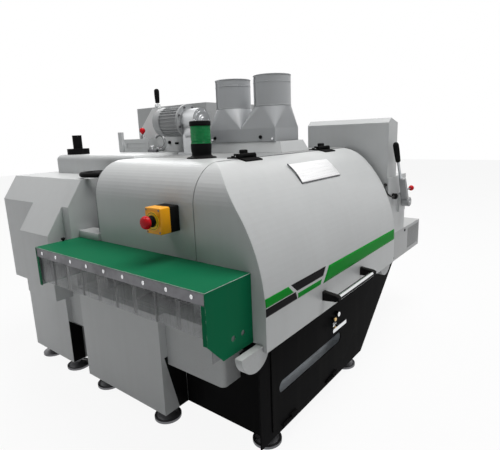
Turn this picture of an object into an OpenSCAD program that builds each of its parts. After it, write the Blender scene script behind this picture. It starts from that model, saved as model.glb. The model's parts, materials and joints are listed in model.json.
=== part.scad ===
// Multi-rip saw: wood goes in along +X under the green guard, rides the feed chain past a
// gang of circular blades on one arbor, and leaves at the outfeed end.
// +X is the feed direction, -Y the operator's side, +Z up. Millimetres.
// The origin is on the floor, under the middle of the machine's box.

/* [Machine] */
// Overall length along the feed
machine_l = 1944; // [1900:4:2040]
// Width from the hood's front face to the far side
body_w = 1633; // [1600:1:1720]
// Floor to the underside of the base
foot_h = 60; // [50:1:80]
// Height of the base
base_h = 300; // [290:1:330]
// Height of the bed on the base
bed_h = 120; // [118:1:135]
// Table to the top of the infeed guard
tunnel_h = 220; // [210:1:240]
// Infeed guard top to the deck
head_h = 331; // [322:1:345]
// Wall of the sheet-metal covers
sheet_t = 4; // [3:0.5:5]
// Clearance between a moving panel and its neighbour
panel_gap = 1.5; // [1:0.5:3]
// Radial running clearance of shafts and pins
run_gap = 0.05; // [0.02:0.01:0.1]

/* [Base] */
// Length of the base at the floor
base_l = 768; // [740:1:800]
// Length of the base at its top
base_top_l = 1125; // [1100:1:1130]
// Wall of the welded base
base_t = 6; // [5:1:8]
// Setback of the base end from the bed end
base_setback = 90; // [80:1:110]
// Width of the floor flange that the front skirt adds at the infeed end
skirt_wing = 54; // [40:1:60]
// Height of the front skirt
skirt_h = 364; // [355:1:372]
// Setback of the skirt behind the hood front
skirt_inset = 40; // [36:1:44]
// Radius of the two round lugs below the hood
lug_r = 72; // [60:1:76]
// Thickness of a lug
lug_t = 26; // [16:1:27]
// Distance between the lugs
lug_pitch = 1100; // [1060:5:1120]
// Radius of a levelling foot
foot_r = 55; // [45:1:65]
// Thread radius of a levelling foot
foot_stem_r = 12; // [10:1:16]

/* [Front door] */
// Door length along its top
door_l = 900; // [860:5:910]
// Height of the door
door_h = 312; // [300:2:316]
// Depth of the door's folded rim
door_depth = 24; // [16:1:30]
// Length of the door's slot
slot_l = 480; // [400:5:500]
// Height of the door's slot
slot_h = 46; // [30:1:56]
// Length of the quarter-turn handle
lock_l = 120; // [80:2:130]

/* [Bed] */
// Bed width
bed_w = 840; // [820:2:846]
// Bed setback behind the hood front
bed_inset = 167; // [150:1:180]
// Depth of the infeed apron below the table
apron_h = 212; // [190:1:230]
// Wall of the cast bed
bed_t = 12; // [9:1:14]
// Gap between the hood and the outfeed column
column_gap = 35; // [32:1:45]
// Depth of the outfeed box
outfeed_h = 162; // [150:1:170]
// Thickness of the wall behind the tunnel
wall_t = 16; // [12:1:20]
// Tunnel-side face of the far wall to the middle of the feed chain
chain_inset = 305; // [300:1:310]
// Setback of the apron behind the guard's front
apron_inset = 182; // [175:1:190]
// Number of slats in the vent
vent_n = 14; // [8:1:16]

/* [Feed chain] */
// Width of the feed chain
chain_w = 220; // [180:2:240]
// Outer radius of the chain's loop at its ends
chain_r = 50; // [46:1:51]
// Thickness of the chain
chain_t = 12; // [10:1:14]
// Height of the chain above the table
chain_rise = 1; // [0.5:0.5:2]
// Number of slats on the chain's upper run
slat_n = 30; // [20:1:40]
// Radius of the sprocket shafts
sprocket_shaft_r = 15; // [12:1:18]
// Teeth of a feed sprocket
sprocket_n = 16; // [12:1:20]

/* [Infeed guard] */
// Length of the guard along the feed
guard_l = 209; // [200:1:220]
// Depth of the guard's side
guard_drop = 233; // [220:1:240]
// Drop of the guard's near side behind its slanted corner
guard_point = 71; // [60:1:80]
// Radius of the two holes in the guard's near side
guard_hole_r = 9; // [6:1:10]
// Setback of the guard's side behind the hood front
guard_inset = 52; // [48:1:60]
// Height of the bar that clamps the strips
bar_h = 36; // [30:1:44]
// Number of strips
strip_n = 9; // [7:1:11]
// Length of a strip
strip_h = 136; // [110:1:150]
// Thickness of a strip
strip_t = 2; // [1.5:0.5:2.5]
// Length of a kickback finger
finger_l = 120; // [90:1:130]
// Number of kickback fingers
finger_n = 17; // [12:1:20]

/* [Hood and cover] */
// Length of the hood
hood_l = 1136; // [1120:2:1150]
// Hood front face to the hinge seam
hood_depth = 288; // [280:1:300]
// Height of the hood's lower edge above the base
hood_low = 81; // [76:1:90]
// Width of the infeed cover
cover_w = 569; // [550:1:580]
// Length of the infeed cover along the feed
cover_l = 263; // [250:1:280]
// Radius of the bend at the infeed end
bend_r = 144; // [120:1:160]
// Radius of the hood's front
front_r = 560; // [520:5:600]
// Radius of the hood's top corner
corner_r = 215; // [190:1:240]
// Height above the base at which the hood starts to curve
hood_bend = 212; // [195:1:225]
// Distance between the two hinges
hinge_pitch = 613; // [580:1:640]
// Length of a hinge
hinge_l = 104; // [90:2:140]
// Radius of a hinge knuckle
knuckle_r = 9; // [8:0.5:10]
// Reach of the hood handle
handle_reach = 69; // [60:1:80]
// Length of the hood handle
handle_l = 366; // [320:2:400]
// Length of the blank plate on the hood
plate_l = 326; // [280:2:340]
// Width of the blank plate, seen from above
plate_w = 67; // [60:1:90]

/* [Drive side] */
// Width of the recess between the bed and the drive leg
step_w = 128; // [120:1:140]
// Width of the drive leg
leg_w = 365; // [350:1:380]
// Width of the drive cover
drive_w = 626; // [600:1:626]
// Setback of the drive cover from the guard's front
drive_inset = 161; // [150:1:170]
// Height of the drive cover above the table
drive_h = 470; // [455:1:475]
// Height of the cover's vertical end above the table
drive_eave = 358; // [340:1:370]
// Run of the cover's sloping top
slope_run = 76; // [60:1:90]
// Length of the drive cover
drive_l = 897; // [880:1:900]
// Depth of the belt chute ahead of the cover
chute_t = 80; // [60:1:90]
// Width of the belt chute
chute_w = 259; // [230:1:280]
// Height of the rear cabinet above the deck
cabinet_rise = 275; // [250:1:300]
// Length of the rear cabinet
cabinet_l = 667; // [600:1:700]
// Radius of the top housing's edges
housing_r = 26; // [15:1:30]
// Length of the top housing
housing_l = 631; // [600:1:650]
// Width of the top housing
housing_w = 673; // [650:1:690]
// Handwheel radius
wheel_r = 80; // [70:1:90]
// Height of the tower on the top housing
tower_h = 232; // [210:1:240]
// Thickness of the tower along the feed
tower_l = 153; // [120:1:160]
// Width of the tower's foot
tower_w = 425; // [400:1:440]

/* [Lift drive] */
// Radius of the lift motor's body
lift_r = 66; // [58:1:68]
// Height of the motor's fins
fin_h = 7; // [5:1:9]
// Number of fins
fin_n = 28; // [20:1:32]
// Radius of the motor's flange
flange_r = 80; // [74:1:84]
// Radius of the lift screw
screw_r = 14; // [12:1:16]
// Travel of the pressure frame
lift_travel = 70; // [50:1:75]

/* [Arbor] */
// Distance from the front of the hood to the arbor
arbor_in = 773; // [765:1:780]
// Radius of a saw blade
blade_r = 150; // [140:1:155]
// Thickness of a saw blade
blade_t = 3.5; // [3:0.5:5]
// Number of blades
blade_n = 5; // [3:1:6]
// Pitch of the blades
blade_pitch = 42; // [36:1:44]
// Teeth of a blade
tooth_n = 24; // [18:1:30]
// Radius of the arbor at the blades
arbor_r = 22; // [20:1:25]
// Outer radius of the arbor housing
housing_tube_r = 70; // [66:1:71]
// Radius of the arbor's pulley
arbor_pulley_r = 60; // [54:1:64]
// Radius of the motor's pulley
motor_pulley_r = 80; // [70:1:85]
// Radius of the main motor
motor_r = 120; // [100:1:125]
// Width of one drive belt
belt_w = 13; // [10:1:15]

/* [Pressure rollers] */
// Radius of a pressure roller
roller_r = 45; // [38:1:48]
// Gap between roller and chain at rest
roller_lift = 9; // [5:1:20]
// Radius of a roller's shaft
roller_shaft_r = 12; // [10:1:15]
// Thickness of the frame's cheeks
cheek_t = 15; // [12:1:16]

/* [Dust outlet] */
// Outer radius of a duct
duct_r = 90; // [80:1:90]
// Distance between the ducts
duct_pitch = 245; // [235:1:255]
// Length of a duct above its transition
duct_l = 143; // [120:1:160]
// Wall of the dust outlet
duct_t = 2; // [1.5:0.5:3]
// Length of the outlet's box along the feed
outlet_l = 204; // [190:2:210]
// Height of the outlet's box
outlet_h = 61; // [50:1:70]
// Height of the transitions
transition_h = 103; // [90:1:120]
// Height of the plinth below the outlet
plinth_h = 52; // [45:1:60]

/* [Controls] */
// Width of the emergency stop's box
stop_w = 79; // [70:1:90]
// Height of the emergency stop's box
stop_h = 91; // [80:1:100]
// Depth of the emergency stop's base
stop_base_t = 40; // [30:1:45]
// Depth of the emergency stop's cover
stop_body_t = 44; // [35:1:50]
// Radius of the mushroom button
button_r = 23; // [18:1:25]
// Travel of the mushroom button
button_travel = 6; // [4:1:8]
// Radius of the signal lamp
lamp_r = 41; // [35:1:45]
// Height of the lamp's lens
lens_h = 69; // [60:1:80]
// Radius of the black post on the top housing
post_r = 24; // [22:1:30]
// Radius of a lever's ball
ball_r = 16; // [13:1:18]
// Length of the gear lever
gear_lever_l = 366; // [340:2:380]
// Length of the red ball lever on the outfeed column
shift_lever_l = 140; // [120:2:150]

/* [Outfeed] */
// Length of the outfeed column
column_l = 270; // [250:1:290]
// Height of the outfeed column on its box
column_h = 315; // [300:1:330]
// Width of the work tunnel
tunnel_w = 400; // [380:2:410]
// Height of the tunnel through the column
portal_h = 200; // [190:1:210]
// Length of the outfeed head
head_l = 127; // [110:1:140]
// Width of the outfeed head
head_w = 466; // [440:1:480]
// Height of the outfeed head
head_rise = 303; // [280:1:320]

/* [Hidden] */
$fn = 64;
x_in = -machine_l / 2;
x_out = machine_l / 2;
y_far = (body_w + handle_reach) / 2;
y_hood = y_far - body_w;
y_skirt = y_hood + skirt_inset;
y_side = y_hood + guard_inset;
y_bed = y_hood + bed_inset;
y_bed1 = y_bed + bed_w;
y_seam = y_hood + hood_depth;
y_cover = y_seam + cover_w;
y_wall = y_cover + wall_t;
y_drive = y_far - drive_w;
y_step = y_drive + step_w;
y_lower = y_step + leg_w;
y_chain = y_cover - chain_inset;
z_base = foot_h;
z_bed = z_base + base_h;
z_table = z_bed + bed_h;
z_guard = z_table + tunnel_h;
z_deck = z_guard + head_h;
z_apron = z_table - apron_h;
z_hood = z_bed + hood_low;
z_bend = z_bed + hood_bend;
z_skirt = z_base + skirt_h;
x_apron = x_in + apron_inset;
x_base = x_apron + base_setback;
x_head = x_in + guard_l;
x_hood = x_head + hood_l;
x_drive = x_in + drive_inset;
x_cab = x_drive + drive_l;
x_column = x_hood + column_gap;
x_deck = x_head + cover_l;
// Front skirt, feet and lugs
skirt_x = x_base - skirt_wing;
lug_x = x_base - 100;
lug_z = z_hood + 21;
foot_in = 62;
pad_w = 2 * foot_in - base_t;
nut_h = 12;
base_feet = [[x_base + foot_in, y_skirt + foot_in], [x_base + base_l - foot_in, y_skirt + foot_in],
    [x_base + foot_in, y_lower - foot_in], [x_cab - foot_in, y_lower - foot_in]];
cabinet_feet = [for (x = [x_cab + foot_in, x_cab + cabinet_l - foot_in])
    for (y = [y_drive + foot_in, y_far - foot_in]) [x, y]];
leg_feet = [[(x_drive + x_base) / 2, y_lower - foot_in], [(x_drive + x_base) / 2, y_step + foot_in]];
// Feed chain
z_chain_top = z_table + chain_rise;
z_chain = z_chain_top - chain_r;
x_chain0 = x_base;
x_chain1 = x_column - bed_t - chain_r - 6;
slot_y = [y_chain - chain_w / 2 - 5, y_chain + chain_w / 2 + 5];
slot_x = [x_apron + bed_t + 16, x_column - bed_t];
table_t = 14;
tooth_h = 6;
sprocket_r = chain_r - chain_t - 0.5;
// Arbor, blades and motor
cut_depth = 4;
x_arbor = x_head + arbor_in;
z_arbor = z_chain_top + blade_r - cut_depth;
blades_w = (blade_n - 1) * blade_pitch;
spacer_r = arbor_r + 12;
arbor_y0 = y_chain - blades_w / 2 - 60;
arbor_y1 = y_chain + blades_w / 2 + 20;
tube_y = [y_cover - 55, y_drive + sheet_t + 15];
tube_flange_r = housing_tube_r + 35;
bearing_w = 18;
pulley_w = 4 * (belt_w + 3) + 4;
y_pulley = y_far - 30 - pulley_w;
belt_t = 10;
x_motor = x_arbor - 430;
z_motor = z_bed + motor_r + 70;
motor_l = 320;
// Pressure frame
roller_x = [x_arbor - 440, x_arbor - 250, x_arbor + 235];
z_roller = z_chain_top + roller_lift + roller_r;
cheek_in = chain_w / 2 + 65;
frame_x = [x_arbor - 490, x_arbor + 290];
rail_z = [z_arbor + blade_r + 24, z_arbor + blade_r + 54];
guide_r = 10;
guide_x = [x_arbor - 450, x_arbor + 260];
guide_y = [y_chain - cheek_in - cheek_t - 17, y_chain + cheek_in + cheek_t + 17];
x_lift = x_arbor - 240;
y_screw = y_chain + cheek_in + cheek_t + 50;
screw_top = z_deck + 144 + lift_travel;
// Guard and strips
guard_t = 3;
bar_x = [x_in + 2, x_in + 6];
strip_x = bar_x[1] + 0.3;
strip_y = [y_side + 18, y_drive - 12];
strip_top = z_guard - 8;
z_finger = z_table + 150;
x_finger = x_head + 33;
finger_r = 8;
post_w = 40;
beam_y = [y_seam + 2, y_seam + 42];
// Deck and hood
deck_t = 6;
hinge_y = y_seam;
hinge_z = z_deck + 10;
hinge_pin_r = 4;
leaf_t = 5;
leaf_w = 38;
hinge_shift = 36;
hinge_x = [for (s = [-1, 1]) x_head + hood_l / 2 + hinge_shift + s * hinge_pitch / 2];
meet_a = 180 - asin((z_deck - corner_r - z_bend) / (front_r - corner_r));
front_c = [y_hood + front_r, z_bend];
corner_c = front_c + (front_r - corner_r) * [cos(meet_a), sin(meet_a)];
grip_r = 9;
handle_x = [x_head + 363, x_head + 363 + handle_l];
handle_z = z_bed + 151;
// Front door
door_z = z_base + 32;
door_x = x_base + 10;
door_t = 3.5;
door_y = y_skirt - 0.5 - door_t;
door_axis = [y_skirt - 9, z_base + 24];
door_pin_r = 3;
slot_c = [door_x + 45 + slot_l / 2, door_z + 147];
lock_c = [slot_c[0] + slot_l / 2 - 73, door_z + 230];
lock_r = 6;
// Drive cover, cabinet and top housing
z_drive = z_table + drive_h;
z_eave = z_table + drive_eave;
z_over = z_table - 58;
slope = (drive_h - drive_eave) / slope_run;
z_top = z_drive + 95;
x_housing = x_cab - housing_l;
x_tower = x_cab - 239;
tower_y = y_wall + 19;
disc_r = 47;
disc_t = 6;
wheel_c = [x_drive + 173, y_drive + 18, z_drive];
wheel_rim_r = 11;
wheel_shaft_r = 8;
door2_t = 17;
door2_axis = [x_cab + cabinet_l + 9, y_far - 9];
// Lift motor and its gearbox
z_lift = z_deck + 162;
motor_y = y_cover - 17;
lift_l = 140;
gear_r = 58;
// Levers
lock_pivot = [x_tower + 22, tower_y + 275, z_top + tower_h + 14];
latch_pivot = [x_tower - 57, y_wall + 346, z_top + 83];
lever_pin_r = 3;
lever_grip_r = 14;
lever_grip_l = 50;
gear_pivot = [x_column + 191, y_side - 20, z_table + 245];
gear_angle = -27;
gear_arm_l = 150;
gear_arm_w = 26;
gear_hub_r = 26;
gear_grip_r = 15;
gear_grip_l = 100;
switch_c = [x_column + 69, y_side, z_table + 289];
switch_r = 15.5;
cable_r = 4;
cable_out = switch_r + 4.5;
shift_pivot = [x_column + column_l + 12, y_side + 14, switch_c[2]];
// Dust outlet
x_duct = x_arbor;
y_duct = (y_seam + y_wall) / 2 + 33;
plinth_x = [x_duct - 118, x_duct + 128];
plinth_y = [y_duct - 250, y_duct + 225];
outlet_w = 407;
z_outlet = z_deck + plinth_h;
z_transition = z_outlet + outlet_h;
// Emergency stop and lamp
stop_c = [x_head, y_seam + 110, z_guard + 145];
stop_stem_r = 8;
lamp_c = [x_deck + 11, y_chain - 51, z_deck];
// Outfeed
z_box = z_table + 77;
z_column = z_box + column_h;
portal_y = [y_chain - tunnel_w / 2, y_chain + tunnel_w / 2];
infeed_leg_y = [y_bed + 286, y_bed + 815];
leg_x = x_apron - 32;
infeed_feet = [for (y = infeed_leg_y + [foot_in, -foot_in]) [(leg_x + x_base) / 2, y]];
chute_y = [y_drive + 51, y_drive + 51 + chute_w];
screw_z = z_guard - guard_t - bar_h / 2 + 2;

function screw_y(i) = y_side + 52 + i * (y_drive - y_side - 104) / (strip_n - 1);
function at(c, offsets) = [c + offsets[0], c + offsets[1]];
function arc(c, r, a0, a1, n = 16) =
    [for (i = [0:n]) c + r * [cos(a0 + (a1 - a0) * i / n), sin(a0 + (a1 - a0) * i / n)]];
function base_end(z) = x_base + base_l + (base_top_l - base_l) * (z - z_base) / base_h;
function base_outline(inset, z) =
    [[x_base + inset, z[0]], [base_end(z[0]) - inset, z[0]],
     [base_end(z[1]) - inset, z[1]], [x_base + inset, z[1]]];
function hood_outline(inset, y_end, z_low) = concat(
    [[y_hood + inset, z_low]],
    arc(front_c, front_r - inset, 180, meet_a, 20),
    arc(corner_c, corner_r - inset, meet_a - 3, 90, 14),
    [[max(y_end, corner_c[0]), z_deck - inset], [max(y_end, corner_c[0]), z_low]]);
function head_outline(inset, x_end, z_low) = concat(
    [[x_head + inset, z_low]],
    arc([x_head + bend_r, z_deck - bend_r], bend_r - inset, 180, 90),
    [[x_end, z_deck - inset], [x_end, z_low]]);
function cover_outline(inset, z_low) =
    let (eave = inset * (sqrt(1 + slope * slope) - slope),
        ridge = inset * (sqrt(1 + slope * slope) - 1) / slope)
    [[x_drive + inset, z_low], [x_drive + inset, z_eave - eave],
     [x_drive + slope_run + ridge, z_drive - inset], [x_cab - inset, z_drive - inset],
     [x_cab - inset, z_low]];
function tower_outline(inset, z_low) =
    [[tower_y + inset, z_low], [tower_y + tower_w - inset, z_low],
     [tower_y + tower_w - inset, z_top + 108 - inset / 2],
     [tower_y + tower_w - 127 - inset / 2, z_top + tower_h - inset],
     [tower_y + tower_w - 200 + inset / 2, z_top + tower_h - inset],
     [tower_y + tower_w - 245 + inset / 2, z_top + tower_h - 37 - inset],
     [tower_y + inset, z_top + tower_h - 37 - inset]];

module box(x, y, z) {
    translate([x[0], y[0], z[0]]) cube([x[1] - x[0], y[1] - y[0], z[1] - z[0]]);
}

module prism_y(points, y) {
    translate([0, y[1], 0]) rotate([90, 0, 0]) linear_extrude(y[1] - y[0]) polygon(points);
}

module prism_x(points, x) {
    translate([x[0], 0, 0]) rotate([90, 0, 90]) linear_extrude(x[1] - x[0]) polygon(points);
}

module rod_x(p, r, l) {
    translate(p) rotate([0, 90, 0]) cylinder(r = r, h = l);
}

module rod_y(p, r, l) {
    translate([p[0], p[1] + l, p[2]]) rotate([90, 0, 0]) cylinder(r = r, h = l);
}

module rod_z(p, r, l) {
    translate(p) cylinder(r = r, h = l);
}

// Loop of a belt or chain round two wheels of the same radius
module loop_y(x, z, r, y) {
    rod_y([x[0], y[0], z], r, y[1] - y[0]);
    rod_y([x[1], y[0], z], r, y[1] - y[0]);
    box(x, y, [z - r, z + r]);
}

// Point of a smooth curve with two end points and two handles, p, at its share t
function bezier(p, t) = let (s = 1 - t)
    s * s * s * p[0] + 3 * s * s * t * p[1] + 3 * s * t * t * p[2] + t * t * t * p[3];

// Round lead swept along a curve; each ring stands square to the curve at its place
module lead(points, r, sides = 10) {
    n = len(points);
    function along(i) = let (d = points[min(i + 1, n - 1)] - points[max(i - 1, 0)]) d / norm(d);
    function across(t) = let (c = cross([0, 1, 0], t)) c / norm(c);
    rings = [for (i = [0:n - 1]) let (t = along(i), u = across(t), v = cross(t, u))
        for (k = [0:sides - 1]) points[i] + r * (cos(k * 360 / sides) * u + sin(k * 360 / sides) * v)];
    walls = [for (i = [0:n - 2]) for (k = [0:sides - 1]) let (a = i * sides + k,
        b = i * sides + (k + 1) % sides)
        each [[a, b, b + sides], [a, b + sides, a + sides]]];
    ends = [[for (k = [sides - 1:-1:0]) k], [for (k = [0:sides - 1]) (n - 1) * sides + k]];
    polyhedron(rings, concat(walls, ends));
}

// Two upright ears with a pin hole, either side of a lever that swings about Y
module ears(pivot, gap, height, r) {
    for (s = [-1, 1]) difference() {
        union() {
            rod_y([pivot[0], pivot[1] + s * (gap / 2 + 2.5) - 2.5, pivot[2]], r, 5);
            box([pivot[0] - r, pivot[0] + r], at(pivot[1] + s * (gap / 2 + 2.5), [-2.5, 2.5]),
                [pivot[2] - height, pivot[2]]);
        }
        rod_y([pivot[0], pivot[1] - gap, pivot[2]], lever_pin_r + run_gap, 2 * gap);
    }
}

// Hub and pin of a lever that swings between two ears
module lever_hub(pivot, gap, r) {
    rod_y([pivot[0], pivot[1] - gap / 2 + 0.5, pivot[2]], r, gap - 1);
    rod_y([pivot[0], pivot[1] - gap / 2 - 5, pivot[2]], lever_pin_r, gap + 10);
}

module base_frame() {
    color("#1c1c1e") difference() {
        union() {
            difference() {
                prism_y(base_outline(0, [z_base, z_bed]), [y_skirt, y_drive]);
                prism_y(base_outline(base_t, [z_base - 1, z_bed - base_t]),
                    [y_skirt + base_t, y_drive - base_t]);
            }
            difference() {
                box([x_base, x_cab], [y_drive - base_t, y_lower], [z_base, z_bed]);
                box([x_base + base_t, x_cab - base_t], [y_drive, y_lower - base_t],
                    [z_base - 1, z_bed - base_t]);
            }
            // Front skirt, its wing towards the infeed and its ledge under the hood
            prism_y([[skirt_x, z_base], [base_end(z_base), z_base], [base_end(z_skirt), z_skirt],
                [skirt_x, z_skirt]], [y_skirt, y_skirt + base_t]);
            box([skirt_x, x_column], [y_skirt, y_bed], [z_skirt - base_t, z_skirt]);
            for (p = base_feet) box(at(p[0], [-pad_w, pad_w] / 2), at(p[1], [-pad_w, pad_w] / 2),
                [z_base, z_base + 10]);
            // Fixed knuckles of the front door
            for (x = [door_x + 60, door_x + door_l / 2 - 60]) {
                rod_x([x, door_axis[0], door_axis[1]], 6, 50);
                box([x, x + 50], [door_axis[0], y_skirt], at(door_axis[1], [-6, 2]));
            }
        }
        door_blank([y_skirt - 1, y_skirt + door_depth], -3);
        rod_x([door_x, door_axis[0], door_axis[1]], door_pin_r + run_gap, door_l);
        // Opening for the chips under the blades
        box([x_arbor - 180, x_arbor + 180], [y_chain - 90, y_chain + 90], [z_bed - base_t - 1, z_bed + 1]);
    }
}

// Outline of the front door, whose outfeed edge follows the base's slope
module door_blank(y, inset) {
    lean = (base_top_l - base_l) / base_h;
    side = inset * sqrt(1 + lean * lean);
    low = door_z + inset;
    high = door_z + door_h - inset;
    right = door_x + door_l - side;
    prism_y([[door_x + inset, low], [right - lean * (door_h - inset), low], [right - lean * inset, high],
        [door_x + inset, high]], y);
}

module levelling_feet() {
    color("#38383a") for (p = concat(base_feet, cabinet_feet, leg_feet, infeed_feet))
        translate([p[0], p[1], 0]) {
        cylinder(r = foot_r, h = 10);
        translate([0, 0, 10]) cylinder(r1 = foot_r * 0.8, r2 = foot_stem_r + 4, h = 14);
        cylinder(r = foot_stem_r, h = z_base);
        translate([0, 0, z_base - nut_h]) cylinder(r = foot_stem_r + 9, h = nut_h, $fn = 6);
    }
}

module front_lugs() {
    color("#c9cbcc") for (x = [lug_x, lug_x + lug_pitch]) {
        intersection() {
            rod_y([x, y_skirt - lug_t, lug_z], lug_r, lug_t);
            box([x - lug_r, x + lug_r], [y_skirt - lug_t - 1, y_skirt + 1], [lug_z - lug_r - 1, lug_z]);
        }
    }
}

// Sheet-metal leg in front of the apron, open at its back
module infeed_leg() {
    color("#c9cbcc") difference() {
        union() {
            box([leg_x, x_base], infeed_leg_y, [z_base, z_apron]);
            box([leg_x, x_apron], infeed_leg_y, [z_apron - 1, z_table - 2]);
        }
        box([leg_x + sheet_t, x_base + 1], infeed_leg_y + [sheet_t, -sheet_t],
            [z_base + sheet_t, z_apron - sheet_t]);
        box([leg_x + sheet_t, x_apron + 1], infeed_leg_y + [sheet_t, -sheet_t],
            [z_apron - sheet_t - 1, z_table - 2 - sheet_t]);
    }
}

module feed_bed() {
    color("#c9cbcc") difference() {
        union() {
            box([x_base, x_column], [y_bed, y_bed1], [z_bed, z_table]);
            translate([0, 0, z_apron]) linear_extrude(apron_h)
                polygon(concat([[x_base, y_bed], [x_base, y_step], [x_apron, y_step]],
                    arc([x_apron + 20, y_bed + 20], 20, 180, 270)));
        }
        // Pockets under the table, either side of the chain
        box([x_apron + bed_t, x_column - bed_t], [y_bed + bed_t, slot_y[0] - bed_t],
            [z_apron - 1, z_table - table_t]);
        box([x_apron + bed_t, x_column - bed_t], [slot_y[1] + bed_t, y_bed1 - bed_t],
            [z_apron - 1, z_table - table_t]);
        box([x_apron + bed_t, x_base + 1], [y_bed1 - bed_t - 1, y_step - bed_t],
            [z_apron - 1, z_table - table_t]);
        box(slot_x, slot_y, [z_apron - 1, z_table + 1]);
        for (x = [x_chain0, x_chain1])
            rod_y([x, slot_y[0] - bed_t - 1, z_chain], sprocket_shaft_r + run_gap,
                slot_y[1] - slot_y[0] + 2 * bed_t + 2);
    }
}

module feed_chain() {
    y = at(y_chain, [-chain_w, chain_w] / 2);
    color("#5b5d60") difference() {
        loop_y([x_chain0, x_chain1], z_chain, chain_r, y);
        loop_y([x_chain0, x_chain1], z_chain, chain_r - chain_t, [y[0] - 1, y[1] + 1]);
        // Joints between the slats
        for (i = [0:slat_n])
            translate([x_chain0 + i * (x_chain1 - x_chain0) / slat_n - 1.5, y[0] - 1, z_chain_top - 3])
                cube([3, chain_w + 2, 4]);
        // Grooves that the blades run in
        for (i = [0:blade_n - 1]) {
            yb = y_chain - blades_w / 2 + i * blade_pitch;
            box([x_chain0, x_chain1], at(yb, [-0.5, 0.5] * (blade_t + 4)),
                [z_chain_top - cut_depth - 2, z_chain_top + 1]);
        }
    }
}

// Toothed drums that carry the chain, each on its shaft
module sprocket(x) {
    color("#8d9093") {
        difference() {
            rod_y([x, y_chain - chain_w / 2 + 10, z_chain], sprocket_r, chain_w - 20);
            for (i = [0:sprocket_n - 1]) translate([x, 0, z_chain]) rotate([0, i * 360 / sprocket_n, 0])
                translate([sprocket_r - tooth_h, y_chain - chain_w / 2, -2.5])
                    cube([tooth_h + 1, chain_w, 5]);
        }
        rod_y([x, slot_y[0] - bed_t - 8, z_chain], sprocket_shaft_r,
            slot_y[1] - slot_y[0] + 2 * bed_t + 16);
    }
}

module infeed_sprocket() {
    sprocket(x_chain0);
}

module outfeed_sprocket() {
    sprocket(x_chain1);
}

// Wall behind the tunnel, posts, front beam, deck and the rods that guide the pressure frame
module machine_frame() {
    color("#b9bcbe") difference() {
        union() {
            box([x_deck, x_column], [beam_y[0], y_wall], [z_deck - deck_t, z_deck]);
            // Wall, beam and posts keep inside the bent cover
            intersection() {
                union() {
                    box([x_head, x_column - 8], [y_cover, y_wall], [z_table, z_deck]);
                    box([x_head, x_column], beam_y, [z_deck - deck_t - post_w, z_deck]);
                    for (x = [x_finger - post_w / 2, x_column - post_w])
                        box([x, x + post_w], beam_y, [z_table, z_deck]);
                }
                prism_y(head_outline(deck_t, x_column, z_table), [beam_y[0], y_wall]);
            }
            for (x = guide_x) for (y = guide_y) rod_z([x, y, z_table], guide_r, z_deck - deck_t - z_table);
        }
        rod_y([x_finger, beam_y[0] - 1, z_finger], finger_r + run_gap, y_wall - beam_y[0] + 2);
        rod_y([x_arbor, y_cover - 1, z_arbor], housing_tube_r + 0.3, wall_t + 2);
        rod_z([x_lift, y_screw, z_deck - deck_t - 1], screw_r + 1, deck_t + 2);
        box(plinth_x + [24, -24], plinth_y + [24, -24], [z_deck - deck_t - 1, z_deck + 1]);
    }
}

// Bent cover over the infeed, closed at its drive end
module infeed_cover() {
    z_low = z_guard - 40;
    color("#d3d5d6") difference() {
        prism_y(head_outline(0, x_deck, z_low), [beam_y[0], y_cover]);
        prism_y(head_outline(sheet_t, x_deck + 1, z_low - 1), [beam_y[0] - 1, y_cover - sheet_t]);
    }
}

// Side of the guard, which hangs lower by point behind its slanted corner
module guard_side(y, point) {
    high = z_guard - guard_drop + guard_point;
    x1 = x_head - panel_gap;
    prism_y([[x_in, z_guard], [x_in, high], [x_in + 64, high - point], [x1, high - point], [x1, z_guard]], y);
}

module infeed_guard() {
    color("#1f8a4c") difference() {
        union() {
            box([x_in, x_head - panel_gap], [y_side, y_drive], [z_guard - guard_t, z_guard]);
            guard_side([y_side, y_side + guard_t], guard_point);
            guard_side([y_drive - guard_t, y_drive], 0);
            // Folded edges beside the strips
            for (y = [[y_side, y_side + 17], [y_drive - 17, y_drive]])
                box([x_in, x_in + guard_t], y,
                    [z_guard - guard_drop + guard_point, z_guard - guard_t - bar_h]);
        }
        for (x = [x_in + 112, x_in + 159])
            rod_y([x, y_side - 1, z_guard - guard_drop + 52], guard_hole_r, guard_t + 2);
    }
}

// Bar that clamps the strips under the guard's front edge
module curtain_bar() {
    color("#4a4c4e") difference() {
        box(bar_x, [y_side + guard_t, y_drive - guard_t], [z_guard - guard_t - bar_h, z_guard - guard_t]);
        for (i = [0:strip_n - 1]) rod_x([bar_x[0] - 1, screw_y(i), screw_z], 2.5 + run_gap, 6);
    }
}

// Screws of the bar, of the emergency stop and of the dust outlet
module cover_screws() {
    color("#e0e1e2") {
        for (i = [0:strip_n - 1]) {
            rod_x([bar_x[0] - 2, screw_y(i), screw_z], 6, 2);
            rod_x([bar_x[0] - 1, screw_y(i), screw_z], 2.5, bar_x[1] - bar_x[0] + 1);
        }
        for (s = [-1, 1])
            rod_x([x_duct - outlet_l / 2 - 4, y_duct + s * (outlet_w / 2 - 14), z_outlet + 12], 5, 4);
    }
}

// Clear overlapping strips that hang from one hem
module strip_curtain() {
    w = strip_y[1] - strip_y[0];
    pitch = w / strip_n;
    color("#cfd4d655") {
        box([strip_x, strip_x + 2 * strip_t + 0.4], strip_y, [strip_top - 6, strip_top]);
        // Round bead that the hem turns on
        rod_y([strip_x + strip_t + 0.2, strip_y[0], strip_top], strip_t + 0.2, strip_y[1] - strip_y[0]);
        for (i = [0:strip_n - 1]) {
            x = strip_x + (i % 2) * (strip_t + 0.4);
            y = strip_y[0] + i * pitch;
            box([x, x + strip_t], [max(strip_y[0], y - 7), min(strip_y[1], y + pitch + 7)],
                [strip_top - strip_h, strip_top]);
        }
    }
}

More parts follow.
